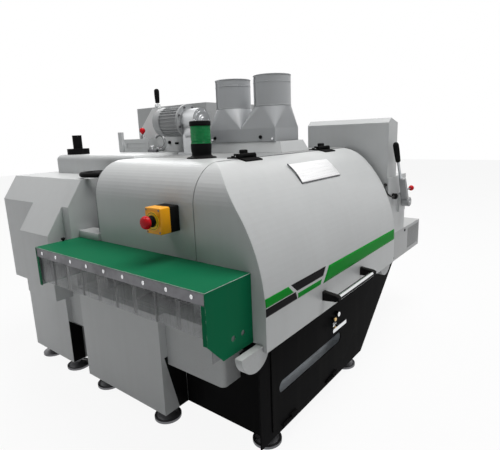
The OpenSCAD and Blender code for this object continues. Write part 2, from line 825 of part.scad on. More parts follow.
// Row of fingers on one rod that keep a board from being thrown back
module kickback_fingers() {
    pitch = (tunnel_w - 24) / (finger_n - 1);
    color("#6a6c6f") {
        rod_y([x_finger, beam_y[0] + 2, z_finger], finger_r, y_wall - beam_y[0] - 4);
        for (i = [0:finger_n - 1]) {
            y = y_chain - tunnel_w / 2 + 12 + i * pitch;
            prism_y([[x_finger - 15, z_finger + 12], [x_finger - 15, z_finger - 30],
                [x_finger + 6, z_finger - finger_l], [x_finger + 16, z_finger - finger_l + 6],
                [x_finger + 15, z_finger + 12]], [y - pitch * 0.35, y + pitch * 0.35]);
        }
    }
}

// Sheet cover of the belt drive with its leg, its overhang and the chute ahead of it
module drive_cover() {
    color("#cfd1d2") difference() {
        union() {
            prism_y(cover_outline(0, z_table), [y_drive, y_far]);
            box([x_drive, x_cab], [y_step, y_far], [z_over, z_table + 1]);
            box([x_drive, x_cab], [y_step, y_lower], [z_bed, z_over + 1]);
            box([x_drive, x_base], [y_step, y_lower], [z_base, z_bed + 1]);
            prism_y(chute_outline(0), chute_y);
        }
        prism_y(cover_outline(sheet_t, z_table + sheet_t), [y_drive + sheet_t, y_far - sheet_t]);
        box([x_drive, x_cab] + [sheet_t, -sheet_t], [y_step, y_far] + [sheet_t, -sheet_t],
            [z_over + sheet_t, z_table + sheet_t + 1]);
        box([x_drive, x_cab] + [sheet_t, -sheet_t], [y_step, y_lower] + [sheet_t, -sheet_t],
            [z_bed - 1, z_over + sheet_t + 1]);
        box([x_drive + sheet_t, x_base + 1], [y_step, y_lower] + [sheet_t, -sheet_t],
            [z_base + sheet_t, z_bed - sheet_t]);
        box([x_drive + sheet_t, x_base - sheet_t], [y_step, y_lower] + [sheet_t, -sheet_t],
            [z_bed - sheet_t - 1, z_bed + 1]);
        prism_y(chute_outline(sheet_t), chute_y + [sheet_t, -sheet_t]);
        rod_y([x_arbor, y_drive - 1, z_arbor], housing_tube_r + 0.3, sheet_t + 2);
        rod_z([wheel_c[0], wheel_c[1], z_drive - sheet_t - 1], wheel_shaft_r + run_gap, sheet_t + 2);
    }
}

function chute_outline(inset) = let (root = slope * (sqrt(1 + 1 / (slope * slope)) - 1))
    [[x_drive - chute_t + inset, z_over + inset], [x_drive - inset, z_over + inset],
     [x_drive + inset / 2, z_eave - inset * 2],
     [x_drive - chute_t + inset, z_eave - chute_t * slope - inset * root]];

module top_housing() {
    color("#d3d5d6") difference() {
        intersection() {
            prism_x(round_top([y_wall, y_wall + housing_w], z_drive, z_top, housing_r), [x_housing, x_cab]);
            prism_y(round_top([x_housing, x_cab], z_drive, z_top, housing_r), [y_wall, y_wall + housing_w]);
        }
        box([x_housing, x_cab] + [sheet_t, -sheet_t], [y_wall, y_wall + housing_w] + [sheet_t, -sheet_t],
            [z_drive - 1, z_top - housing_r]);
    }
}

// Flat-bottomed outline with two round top corners
function round_top(u, v0, v1, r) = concat([[u[0], v0]], arc([u[0] + r, v1 - r], r, 180, 90, 8),
    arc([u[1] - r, v1 - r], r, 90, 0, 8), [[u[1], v0]]);

module post_cap() {
    c = [x_housing + 80, y_wall + housing_w - 87, z_top];
    color("#222224") {
        rod_z(c, post_r + 33, 30);
        rod_z(c, post_r, 101);
    }
}

module electrical_cabinet() {
    x1 = x_cab + cabinet_l;
    z1 = z_deck + cabinet_rise;
    color("#cfd1d2") difference() {
        union() {
            difference() {
                box([x_cab, x1], [y_drive, y_far - 4], [z_base, z1]);
                box([x_cab + sheet_t, x1 + 1], [y_drive, y_far - 4] + [sheet_t, -sheet_t],
                    [z_base, z1] + [sheet_t, -sheet_t]);
            }
            // Plate with the switchgear
            box([x_cab + 40, x_cab + 43], [y_drive + sheet_t, y_far - 4 - sheet_t],
                [z_base + 120, z1 - 120]);
            for (i = [0:2]) for (j = [0:3])
                box([x_cab + 43, x_cab + 120], at(y_drive + 90 + j * 120, [0, 80]),
                    at(z_base + 260 + i * 260, [0, 130]));
            for (z = [z_base + 120, z1 - 240]) {
                rod_z([door2_axis[0], door2_axis[1], z], 7, 60);
                box([x1 - 2, door2_axis[0]], at(door2_axis[1], [-3, 3]), [z, z + 60]);
            }
        }
        rod_z([door2_axis[0], door2_axis[1], z_base + 1], 4 + run_gap, z1 - z_base);
    }
}

module cabinet_door() {
    x1 = x_cab + cabinet_l + panel_gap;
    z1 = z_deck + cabinet_rise;
    color("#cfd1d2") {
        difference() {
            union() {
                box([x1, x1 + door2_t], [y_drive, door2_axis[1] - 9], [z_base + 4, z1 - 4]);
                for (z = [z_base + 120, z1 - 240]) {
                    box([x1 + 4, x1 + 10], [door2_axis[1] - 10, door2_axis[1]], [z - 26, z - 0.5]);
                    rod_z([door2_axis[0], door2_axis[1], z - 26], 7, 25.5);
                }
            }
            box([x1 - 1, x1 + door2_t - 3], [y_drive + 3, door2_axis[1] - 12], [z_base + 7, z1 - 7]);
        }
        for (z = [z_base + 120, z1 - 240]) rod_z([door2_axis[0], door2_axis[1], z - 26], 4, 82);
    }
}

module handwheel() {
    color("#1c1c1e") translate(wheel_c) {
        translate([0, 0, -14]) cylinder(r = wheel_shaft_r, h = 30);
        translate([0, 0, 0.5]) cylinder(r = 18, h = 26);
        translate([0, 0, 17]) rotate_extrude() translate([wheel_r - wheel_rim_r, 0]) circle(wheel_rim_r);
        for (i = [0:2]) rotate(i * 120 - 45) translate([12, -6, 12])
            cube([wheel_r - wheel_rim_r - 16, 12, 9]);
        rotate(-45) translate([wheel_r - wheel_rim_r, 0, 17]) {
            cylinder(r = 4, h = 20);
            translate([0, 0, 14]) cylinder(r = 9, h = 24);
        }
    }
}

// Hollow stand of the lift drive, open towards the outfeed
module tower() {
    x = [x_tower, x_tower + tower_l];
    color("#d3d5d6") {
        difference() {
            prism_x(tower_outline(0, z_top), x);
            prism_x(tower_outline(sheet_t, z_top - 1), [x[0] + sheet_t, x[1] + 1]);
        }
        rod_x([x[0] - disc_t, tower_y + 247, z_top + 49], disc_r, disc_t);
        ears(lock_pivot, 18, 14, 9);
    }
}

module lift_motor() {
    c = [x_lift, motor_y, z_lift];
    color("#a9acae") {
        rod_y(c - [0, 12, 0], flange_r, 12);
        rod_y(c, lift_r, lift_l);
        for (i = [0:fin_n - 1]) translate([c[0], c[1] + 6, c[2]]) rotate([0, i * 360 / fin_n, 0])
            translate([lift_r - 3, 0, -1.2]) cube([fin_h + 3, lift_l - 8, 2.4]);
        rod_y(c + [0, lift_l, 0], lift_r + 4, 40);
        // Pads that bolt it to the tower
        box([c[0] + lift_r - 12, x_tower], at(c[1], [62, 102]), at(c[2], [-22, 22]));
    }
}

// Worm gearbox on its foot, with the bore that the lift screw climbs through
module lift_gearbox() {
    c = [x_lift, y_screw, z_lift];
    color("#b6b9bb") difference() {
        union() {
            rod_y([c[0], c[1] - 50, c[2]], gear_r, motor_y - 12 - c[1] + 50);
            rod_y([c[0], c[1] - 56, c[2]], gear_r - 16, 8);
            rod_y([c[0] - 20, c[1] - 44, c[2] - gear_r], 34, 60);
            box(at(c[0], [-46, 46]), [c[1] - 44, motor_y - 12], [z_deck + 12, c[2]]);
            box(at(c[0], [-66, 66]), at(c[1], [-48, 58]), [z_deck, z_deck + 12]);
        }
        rod_z([c[0], c[1], z_deck - 1], screw_r + run_gap, 400);
    }
}

module lock_lever() {
    color("#1c1c1e") {
        lever_hub(lock_pivot, 18, 8);
        rod_z(lock_pivot, 5, 40);
        rod_z(lock_pivot + [0, 0, 26], lever_grip_r, lever_grip_l);
        translate(lock_pivot + [0, 0, 26 + lever_grip_l]) sphere(lever_grip_r);
    }
}

module indicator_box() {
    color("#c9cbcc") {
        difference() {
            box(at(latch_pivot[0], [-52, 10]), at(latch_pivot[1], [-107, 103]),
                [z_top, latch_pivot[2] - 14]);
            box(at(latch_pivot[0], [-53, -48]), at(latch_pivot[1], [-85, 80]), [z_top + 18, z_top + 46]);
        }
        ears(latch_pivot, 14, 14, 7);
        box(at(latch_pivot[0], [-49, -33]), at(latch_pivot[1], [128, 159]), [z_top, z_top + 109]);
    }
}

module latch_lever() {
    color("#b5121b") {
        lever_hub(latch_pivot, 14, 6);
        rod_z(latch_pivot, 4, 20);
        translate(latch_pivot + [0, 0, 31]) sphere(ball_r - 0.5);
    }
}

// Wedge-sided plinth under the dust outlet, open above and below
module dust_plinth() {
    lean = 22;
    color("#c9cbcc") difference() {
        intersection() {
            prism_x(wedge(plinth_y, lean), plinth_x);
            prism_y(wedge(plinth_x, lean), plinth_y);
        }
        box(plinth_x + [26, -26], plinth_y + [26, -26], [z_deck - 1, z_outlet + 1]);
    }
}

function wedge(u, lean) = [[u[0], z_deck], [u[1], z_deck], [u[1] - lean, z_outlet],
    [u[0] + lean, z_outlet]];

// One box and two round ducts, each over its square-to-round transition
module dust_outlet() {
    x = at(x_duct, [-outlet_l, outlet_l] / 2);
    y = at(y_duct, [-outlet_w, outlet_w] / 2);
    color("#c3c6c7") difference() {
        union() {
            box(x, y, [z_outlet, z_transition]);
            for (s = [-1, 1]) {
                transition(s, 0);
                rod_z([x_duct, y_duct + s * duct_pitch / 2, z_transition + transition_h], duct_r, duct_l);
            }
        }
        box(x + [duct_t, -duct_t], y + [duct_t, -duct_t], [z_outlet - 1, z_transition - duct_t]);
        for (s = [-1, 1]) {
            transition(s, duct_t);
            rod_z([x_duct, y_duct + s * duct_pitch / 2, z_transition + transition_h - 1], duct_r - duct_t,
                duct_l + 2);
        }
    }
}

module transition(s, inset) {
    w = outlet_w / 4 - inset;
    hull() {
        translate([x_duct, y_duct + s * outlet_w / 4, z_transition - inset - 0.5])
            linear_extrude(0.5 + inset) square([outlet_l - 2 * inset, 2 * w], center = true);
        translate([x_duct, y_duct + s * duct_pitch / 2, z_transition + transition_h])
            cylinder(r = duct_r - inset, h = 0.5, $fn = 48);
    }
}

module stop_base() {
    color("#1c1c1e") box([stop_c[0] - stop_base_t, stop_c[0]], at(stop_c[1], [-stop_w, stop_w] / 2),
        at(stop_c[2], [-stop_h, stop_h] / 2));
}

module stop_body() {
    x = stop_c[0] - stop_base_t;
    color("#e8c51c") difference() {
        union() {
            box([x - stop_body_t, x], at(stop_c[1], [-stop_w, stop_w] / 2),
                at(stop_c[2], [-stop_h, stop_h] / 2));
            rod_x([x - stop_body_t - 3, stop_c[1], stop_c[2]], 33, 3);
            rod_x([x - stop_body_t - 23, stop_c[1], stop_c[2]], 19, 20);
        }
        rod_x([x - stop_body_t - 24, stop_c[1], stop_c[2]], stop_stem_r + run_gap, stop_body_t + 14);
    }
}

module stop_button() {
    x = stop_c[0] - stop_base_t - stop_body_t - 23 - button_travel - 1;
    color("#b5121b") {
        rod_x([x, stop_c[1], stop_c[2]], stop_stem_r, 55);
        rod_x([x - 8, stop_c[1], stop_c[2]], button_r, 8);
        translate([x - 8, stop_c[1], stop_c[2]]) intersection() {
            sphere(button_r);
            translate([-12, -button_r, -button_r]) cube([12, 2 * button_r, 2 * button_r]);
        }
    }
}

// Foot and cap of the signal lamp
module lamp_base() {
    color("#1c1c1e") {
        rod_z(lamp_c, lamp_r + 20, 14);
        rod_z(lamp_c, lamp_r + 1, 59);
        rod_z(lamp_c + [0, 0, 59 + lens_h], lamp_r + 2, 20);
    }
}

module lamp_lens() {
    color("#0f7a3c") rod_z(lamp_c + [0, 0, 59], lamp_r, lens_h);
}

module hood() {
    y_end = y_seam - panel_gap;
    color("#d6d8d9") {
        difference() {
            intersection() {
                prism_x(hood_outline(0, y_end, z_hood), [x_head, x_hood]);
                prism_y(head_outline(0, x_hood, z_hood), [y_hood, y_end]);
            }
            intersection() {
                prism_x(hood_outline(sheet_t, y_end, z_hood - 1), [x_head + sheet_t, x_hood - sheet_t]);
                prism_y(head_outline(sheet_t, x_hood - sheet_t, z_hood - 1), [y_hood, y_end + 1]);
            }
            // Room for the table and for the lugs at both ends
            box([x_head - 1, x_hood + 1], [y_bed - 6, y_end + 1], [z_hood - 1, z_table + 6]);
            box([x_head - 1, x_hood + 1], [y_skirt - lug_t - 2, y_bed], [z_hood - 1, lug_z + 2]);
        }
        // Fold along the lower edge
        box([x_head + 1, x_hood - 1], [y_hood + 1, y_hood + 10], [z_hood, z_hood + sheet_t]);
    }
}

module hood_leaves() {
    color("#2a2a2c") for (x = hinge_x) difference() {
        union() {
            intersection() {
                difference() {
                    rod_x([x - hinge_l / 2, corner_c[0], corner_c[1]], corner_r + leaf_t, hinge_l);
                    rod_x([x - hinge_l / 2 - 1, corner_c[0], corner_c[1]], corner_r, hinge_l + 2);
                }
                box([x - hinge_l, x + hinge_l], [hinge_y - leaf_w, hinge_y - 2],
                    [corner_c[1], z_deck + 10]);
            }
            for (s = [-1, 1]) {
                a = x + s * (30.5 + hinge_l / 2) / 2;
                l = hinge_l / 2 - 30.5;
                rod_x([a - l / 2, hinge_y, hinge_z], knuckle_r, l);
                box([a - l / 2, a + l / 2], [hinge_y - knuckle_r, hinge_y - 2], [z_deck - 1, hinge_z]);
            }
        }
        rod_x([x - hinge_l, hinge_y, hinge_z], hinge_pin_r + run_gap, 2 * hinge_l);
        rod_x([x - 30.5, hinge_y, hinge_z], knuckle_r + 1, 61);
    }
}

module hinge_brackets() {
    end_l = hinge_l / 2 - 29;
    color("#2a2a2c") for (x = hinge_x) {
        difference() {
            box(at(x, [-hinge_l, hinge_l] / 2), [beam_y[0] + 1, beam_y[0] + 51], [z_deck, z_deck + 5]);
            for (start = [x - hinge_l / 2 - 1, x + 30]) rod_x([start, hinge_y, hinge_z], knuckle_r + 1, end_l);
        }
        rod_x([x - 30, hinge_y, hinge_z], knuckle_r, 60);
        rod_x([x - hinge_l / 2, hinge_y, hinge_z], hinge_pin_r, hinge_l);
        for (i = [-1:1]) rod_z([x + i * (hinge_l / 2 - 14), beam_y[0] + 33, z_deck + 5], 7, 5);
    }
}

module hood_handle() {
    y_bar = y_hood - handle_reach + grip_r + 3;
    color("#26262a") {
        rod_x([handle_x[0], y_bar, handle_z], grip_r, handle_l);
        for (x = [handle_x[0] + 11, handle_x[1] - 11]) {
            box([x - 11, x + 11], [y_bar, y_hood], at(handle_z, [-9, 9]));
            box([x - 11, x + 11], [y_hood - 4, y_hood], at(handle_z, [-18, 18]));
            rod_x([x - 11, y_bar, handle_z], grip_r + 3, 22);
        }
    }
}

// Blank plate bent to the hood's round front
module name_plate() {
    x = at(x_head + 434, [0, plate_l]);
    color("#e6e7e8") intersection() {
        difference() {
            prism_x(hood_outline(-4, y_seam, z_hood), x);
            prism_x(hood_outline(0, y_seam + 1, z_hood - 1), [x[0] - 1, x[1] + 1]);
        }
        box([x[0] - 1, x[1] + 1], at(y_hood + 193 - plate_w, [0, plate_w]), [z_bend, z_deck]);
    }
}

module front_door() {
    color("#161618") difference() {
        union() {
            door_blank([door_y, door_y + door_t], 0);
            difference() {
                door_blank([door_y, door_y + door_depth], 3);
                door_blank([door_y - 1, door_y + door_depth + 1], 6);
            }
            for (x = [door_x + 112, door_x + door_l / 2 - 8]) {
                rod_x([x, door_axis[0], door_axis[1]], 6, 40);
                box([x, x + 40], [door_axis[0] - 3, door_y + door_t], [door_axis[1], door_z + 6]);
            }
            rod_y([lock_c[0] + 30, door_y - 12, lock_c[1] + 38], 11, 12);
            rod_y([lock_c[0] - 5, door_y - 6, lock_c[1] + 28], 7, 6);
        }
        box(at(slot_c[0], [-1, 1] * (slot_l - slot_h) / 2), [door_y - 1, door_y + door_t + 1],
            at(slot_c[1], [-slot_h, slot_h] / 2));
        for (s = [-1, 1])
            rod_y([slot_c[0] + s * (slot_l - slot_h) / 2, door_y - 1, slot_c[1]], slot_h / 2, door_t + 2);
        rod_y([lock_c[0], door_y - 1, lock_c[1]], lock_r + run_gap, door_t + 2);
    }
    color("#161618") for (x = [door_x + 55, door_x + door_l / 2 - 65])
        rod_x([x, door_axis[0], door_axis[1]], door_pin_r, 100);
}

// Pale tray behind the door's slot
module door_tray() {
    y = door_y + door_t;
    color("#cfd6dc") difference() {
        box(at(slot_c[0], [-1, 1] * (slot_l / 2 + 8)), [y, y + 40],
            at(slot_c[1], [-slot_h / 2 - 12, slot_h / 2 + 12]));
        box(at(slot_c[0], [-1, 1] * (slot_l / 2 + 5)), [y - 1, y + 37],
            at(slot_c[1], [-slot_h / 2 - 9, slot_h / 2 + 13]));
    }
}

// Quarter-turn handle and the cam behind the door
module door_lock() {
    color("#b9bcbf") {
        rod_y([lock_c[0], door_y - 26, lock_c[1]], lock_r, 26 + door_t + 10);
        rod_y([lock_c[0], door_y - 8, lock_c[1]], 14, 7.5);
        box(at(lock_c[0], [-lock_l, lock_l] / 2), at(door_y, [-32, -20]), at(lock_c[1], [-8, 8]));
        box(at(lock_c[0], [-lock_r, 34]), at(door_y + door_t, [4, 9]), at(lock_c[1], [-8, 8]));
    }
}

module outfeed_box() {
    y = [y_side, y_cover];
    z_low = z_box - outfeed_h;
    color("#c4c7c8") difference() {
        box([x_column, x_out], y, [z_low, z_box]);
        // Channel that the boards leave along
        box([x_column - 1, x_out + 1], portal_y, [z_table, z_box + 1]);
        box([x_column + sheet_t, x_out - sheet_t], [y[0] + sheet_t, portal_y[0] - sheet_t],
            [z_low - 1, z_box - sheet_t]);
        box([x_column + sheet_t, x_out - sheet_t], portal_y, [z_low - 1, z_table - sheet_t]);
        box([x_column + sheet_t, x_out - sheet_t], [portal_y[1] + sheet_t, y[1] - sheet_t],
            [z_low - 1, z_box - sheet_t]);
        for (i = [0:vent_n - 1]) translate([x_out - 218 + i * 208 / vent_n, y[0] - 1, z_low + 22])
            cube([208 / vent_n - 6, sheet_t + 2, outfeed_h - 40]);
    }
}

module outfeed_column() {
    x1 = x_column + column_l;
    color("#cfd1d2") difference() {
        union() {
            difference() {
                box([x_column, x1], [y_side, y_cover], [z_box, z_column]);
                box([x_column + sheet_t, x1 - sheet_t], [y_side, portal_y[0]] + [sheet_t, -sheet_t],
                    [z_box - 1, z_column - sheet_t]);
                box([x_column + sheet_t, x1 - sheet_t], [portal_y[1], y_cover] + [sheet_t, -sheet_t],
                    [z_box - 1, z_column - sheet_t]);
                box([x_column + sheet_t, x1 - sheet_t],
                    [portal_y[0] - sheet_t - 1, portal_y[1] + sheet_t + 1],
                    [z_table + portal_h + sheet_t, z_column - sheet_t]);
                box([x_column - 1, x1 + 1], portal_y, [z_box - 1, z_table + portal_h]);
            }
            // Plate that carries the gear lever
            box(at(gear_pivot[0], [-48, 48]), [y_side - 12, y_side + sheet_t],
                at(gear_pivot[2], [-52, 52]));
            ears_x(shift_pivot, x1);
        }
        rod_y([gear_pivot[0], y_side - 13, gear_pivot[2]], 6 + run_gap, 20);
    }
}

// Ears on the column's outfeed face for the shift lever
module ears_x(pivot, x) {
    for (s = [-1, 1]) difference() {
        union() {
            rod_y([pivot[0], pivot[1] + s * 10.5 - 2.5, pivot[2]], 8, 5);
            box([x, pivot[0]], at(pivot[1] + s * 10.5, [-2.5, 2.5]), at(pivot[2], [-8, 8]));
        }
        rod_y([pivot[0], pivot[1] - 20, pivot[2]], lever_pin_r + run_gap, 40);
    }
}

module outfeed_head() {
    y = [y_side + 7, y_side + 7 + head_w];
    x1 = x_column + head_l;
    z1 = z_column + head_rise;
    color("#d3d5d6") difference() {
        prism_y([[x_column, z_column], [x1, z_column], [x1, z1 - 24], [x_column + 30, z1],
            [x_column, z1 - 24]], y);
        prism_y([[x_column + sheet_t, z_column - 1], [x1 - sheet_t, z_column - 1], [x1 - sheet_t, z1 - 27],
            [x_column + 30, z1 - sheet_t], [x_column + sheet_t, z1 - 27]], y + [sheet_t, -sheet_t]);
    }
}

module gear_lever() {
    color("#26262a") {
        rod_y(gear_pivot - [0, 35, 0], gear_hub_r, 42.5);
        rod_y(gear_pivot - [0, 4, 0], 6, 30);
        translate(gear_pivot) rotate([0, gear_angle, 0]) {
            translate([-gear_arm_w / 2, -25, 0]) cube([gear_arm_w, 31, gear_arm_l]);
            cylinder(r = 7, h = gear_lever_l - gear_grip_l);
            translate([0, 0, gear_lever_l - gear_grip_r - gear_grip_l])
                cylinder(r = gear_grip_r, h = gear_grip_l);
            translate([0, 0, gear_lever_l - gear_grip_r]) sphere(gear_grip_r);
        }
    }
}

module shift_lever() {
    color("#b5121b") {
        lever_hub(shift_pivot, 16, 7);
        rod_x(shift_pivot, 4.5, shift_lever_l - ball_r / 2);
        translate(shift_pivot + [shift_lever_l, 0, 0]) sphere(ball_r);
    }
}

module hood_switch() {
    color("#1c1c1e") {
        rod_y(switch_c - [0, 22, 0], switch_r, 22);
        rod_y(switch_c - [0, 26, 0], 8, 4);
        rod_x(switch_c - [cable_out, 11, 0], cable_r + 1, 10);
    }
}

// Short lead from the switch round the column's corner and into its face
module switch_cable() {
    start = switch_c - [cable_out, 11, 0];
    end = [x_column - 0.4, y_side + 15, z_table + 356];
    route = [start, start + [-62, 0, 0], end + [-60, 0, 0], end];
    color("#161618") lead([for (i = [0:20]) bezier(route, i / 20)], cable_r);
}

module arbor() {
    flange = spacer_r + 4;
    color("#9b9ea1") {
        rod_y([x_arbor, arbor_y0, z_arbor], arbor_r, arbor_y1 + 4 - arbor_y0);
        rod_y([x_arbor, arbor_y1, z_arbor], arbor_r + 8, tube_y[1] + 6 - arbor_y1);
        rod_y([x_arbor, tube_y[1], z_arbor], arbor_r + 3, y_pulley + pulley_w + 8 - tube_y[1]);
        // Collar, spacers between the blades and the nut
        rod_y([x_arbor, y_chain + blades_w / 2 + blade_t / 2 + run_gap, z_arbor], flange, 12);
        for (i = [0:blade_n - 2])
            rod_y([x_arbor, y_chain - blades_w / 2 + i * blade_pitch + blade_t / 2 + run_gap, z_arbor],
                spacer_r, blade_pitch - blade_t - 2 * run_gap);
        translate([x_arbor, y_chain - blades_w / 2 - blade_t / 2 - run_gap, z_arbor]) rotate([90, 0, 0]) {
            cylinder(r = flange, h = 12);
            translate([0, 0, 12]) cylinder(r = spacer_r, h = 20, $fn = 6);
        }
    }
}

module saw_blades() {
    color("#c2c5c8") for (i = [0:blade_n - 1])
        translate([x_arbor, y_chain - blades_w / 2 + i * blade_pitch, z_arbor]) rotate([90, 0, 0])
        linear_extrude(blade_t, center = true) difference() {
            polygon([for (k = [0:tooth_n - 1]) for (p = [[0, blade_r], [3.5, blade_r - 1],
                [5, blade_r - 13], [9, blade_r - 13]])
                p[1] * [cos(k * 360 / tooth_n + p[0]), sin(k * 360 / tooth_n + p[0])]]);
            circle(arbor_r + run_gap);
        }
}

// Tube that carries the arbor's bearings, bolted to the far wall
module arbor_housing() {
    color("#84878a") difference() {
        union() {
            rod_y([x_arbor, tube_y[0], z_arbor], housing_tube_r, tube_y[1] - tube_y[0]);
            rod_y([x_arbor, y_wall, z_arbor], tube_flange_r, 16);
            for (i = [0:5]) translate([x_arbor, y_wall + 16, z_arbor]) rotate([0, i * 60, 0])
                translate([housing_tube_r + 18, 0, 0]) rotate([-90, 0, 0]) cylinder(r = 9, h = 8, $fn = 6);
        }
        rod_y([x_arbor, tube_y[0] - 1, z_arbor], arbor_r + 8 + run_gap, tube_y[1] - tube_y[0] + 2);
        rod_y([x_arbor, tube_y[0] + bearing_w, z_arbor], housing_tube_r - 20,
            tube_y[1] - tube_y[0] - 2 * bearing_w);
    }
}

module pulley(x, z, r, bore) {
    difference() {
        rod_y([x, y_pulley, z], r, pulley_w);
        for (i = [0:3]) difference() {
            rod_y([x, y_pulley + 3.5 + i * (belt_w + 3), z], r + 1, belt_w + 1);
            rod_y([x, y_pulley + 2.5 + i * (belt_w + 3), z], r - belt_t, belt_w + 3);
        }
        rod_y([x, y_pulley - 1, z], bore, pulley_w + 2);
    }
}

module arbor_pulley() {
    color("#6f7275") pulley(x_arbor, z_arbor, arbor_pulley_r, arbor_r + 3 + run_gap);
}

module motor_pulley() {
    color("#6f7275") {
        pulley(x_motor, z_motor, motor_pulley_r, 20);
        rod_y([x_motor, y_pulley - 60, z_motor], 19, pulley_w + 66);
        rod_y([x_motor, y_pulley + 1, z_motor], 21, 6);
    }
}

module main_motor() {
    y1 = y_pulley - 24;
    color("#4f6b7a") difference() {
        union() {
            rod_y([x_motor, y1 - motor_l, z_motor], motor_r - 8, motor_l);
            for (i = [0:17]) translate([x_motor, y1 - motor_l + 38, z_motor]) rotate([0, 10 + i * 20, 0])
                translate([motor_r - 12, 0, -1.5]) cube([10, motor_l - 56, 3]);
            rod_y([x_motor, y1 - 20, z_motor], motor_r, 20);
            rod_y([x_motor, y1 - motor_l, z_motor], motor_r, 40);
            box(at(x_motor, [-80, 80]), [y1 - motor_l + 60, y1 - 40], [z_bed, z_motor]);
            box(at(x_motor, [-130, 130]), [y1 - motor_l + 60, y1 - 40], [z_bed, z_bed + 16]);
            box(at(x_motor, [-50, 50]), [y1 - motor_l + 90, y1 - 110], [z_motor, z_motor + motor_r + 20]);
        }
        rod_y([x_motor, y_pulley - 62, z_motor], 19 + run_gap, 80);
    }
}

// Outline of a belt round two wheels of different size
function belt_outline(a, ra, b, rb) =
    let (d = norm(b - a), t = atan2(b[1] - a[1], b[0] - a[0]), w = acos((ra - rb) / d))
    concat(arc(a, ra, t + w, t + 360 - w, 20), arc(b, rb, t - w, t + w, 20));

module drive_belts() {
    a = [x_motor, z_motor];
    b = [x_arbor, z_arbor];
    in = -belt_t + 0.6;
    color("#141416") for (i = [0:3]) {
        y = at(y_pulley + 4 + i * (belt_w + 3), [0, belt_w]);
        difference() {
            prism_y(belt_outline(a, motor_pulley_r + 2, b, arbor_pulley_r + 2), y);
            prism_y(belt_outline(a, motor_pulley_r + in, b, arbor_pulley_r + in), [y[0] - 1, y[1] + 1]);
        }
    }
}

// Frame that holds the rollers down; it slides up its guide rods on the lift screw
module pressure_frame() {
    near = y_chain - cheek_in;
    far = y_chain + cheek_in;
    color("#7d8083") difference() {
        union() {
            for (y = [[near - cheek_t, near], [far, far + cheek_t]]) {
                box([frame_x[0], frame_x[0] + 300], y, [z_roller - 30, rail_z[1]]);
                box([frame_x[1] - 110, frame_x[1]], y, [z_roller - 30, rail_z[1]]);
                box(frame_x, y, rail_z);
            }
            for (x = [frame_x[0], x_lift - 30, frame_x[1] - 60])
                box([x, x + 60], [near - cheek_t, far + cheek_t], rail_z);
            box(at(x_lift, [-30, 30]), [far, y_screw + 28], rail_z);
            rod_z([x_lift, y_screw, rail_z[0]], screw_r, screw_top - rail_z[0]);
            // Ears on the guide rods
            for (x = guide_x) {
                box(at(x, [-20, 20]), [guide_y[0] - 18, near - 1], [rail_z[0] - 60, rail_z[0]]);
                box(at(x, [-20, 20]), [far + 1, guide_y[1] + 18], [rail_z[0] - 60, rail_z[0]]);
            }
        }
        for (x = guide_x) for (y = guide_y) rod_z([x, y, rail_z[0] - 61], guide_r + run_gap, 62);
        for (x = roller_x) rod_y([x, near - cheek_t - 1, z_roller], roller_shaft_r + run_gap,
            far - near + 2 * cheek_t + 2);
    }
}

// Grooved roller with its shaft through the frame's cheeks
module roller(i) {
    l = 2 * cheek_in - 4;
    color("#a4a7aa") {
        difference() {
            rod_y([roller_x[i], y_chain - l / 2, z_roller], roller_r, l);
            for (k = [1:7]) difference() {
                rod_y([roller_x[i], y_chain - l / 2 + k * l / 8 - 3, z_roller], roller_r + 1, 6);
                rod_y([roller_x[i], y_chain - l / 2 + k * l / 8 - 4, z_roller], roller_r - 4, 8);
            }
        }
        rod_y([roller_x[i], y_chain - cheek_in - cheek_t - 3, z_roller], roller_shaft_r,
            2 * (cheek_in + cheek_t + 3));
    }
}

module roller_1() {
    roller(0);
}

module roller_2() {
    roller(1);
}

module roller_3() {
    roller(2);
}

base_frame();
levelling_feet();
front_lugs();
infeed_leg();
feed_bed();
machine_frame();
infeed_cover();
infeed_guard();
curtain_bar();
cover_screws();
strip_curtain();
kickback_fingers();
drive_cover();
top_housing();
post_cap();
electrical_cabinet();
cabinet_door();
handwheel();
tower();
lift_motor();
lift_gearbox();
lock_lever();
indicator_box();
latch_lever();
dust_plinth();
dust_outlet();
stop_base();
stop_body();
stop_button();
lamp_base();
lamp_lens();
hood();
hood_leaves();
hinge_brackets();
hood_handle();
name_plate();
front_door();
door_tray();
door_lock();
outfeed_box();
outfeed_column();
outfeed_head();
gear_lever();
shift_lever();
hood_switch();
switch_cable();
arbor();
saw_blades();
arbor_housing();
arbor_pulley();
main_motor();
motor_pulley();
drive_belts();
feed_chain();
infeed_sprocket();
outfeed_sprocket();
pressure_frame();
roller_1();
roller_2();
roller_3();
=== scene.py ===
# %% [markdown]
# # A multi-rip saw, dressed
#
# The machine comes in as finished solids. Here each gets its paint, metal or plastic, and what is
# too thin or too soft for a solid is added: strips, bands, seams, screws and slats. X runs with the
# board, Y away from the operator, and Z up, all in metres.

# %% The machine comes in
import json

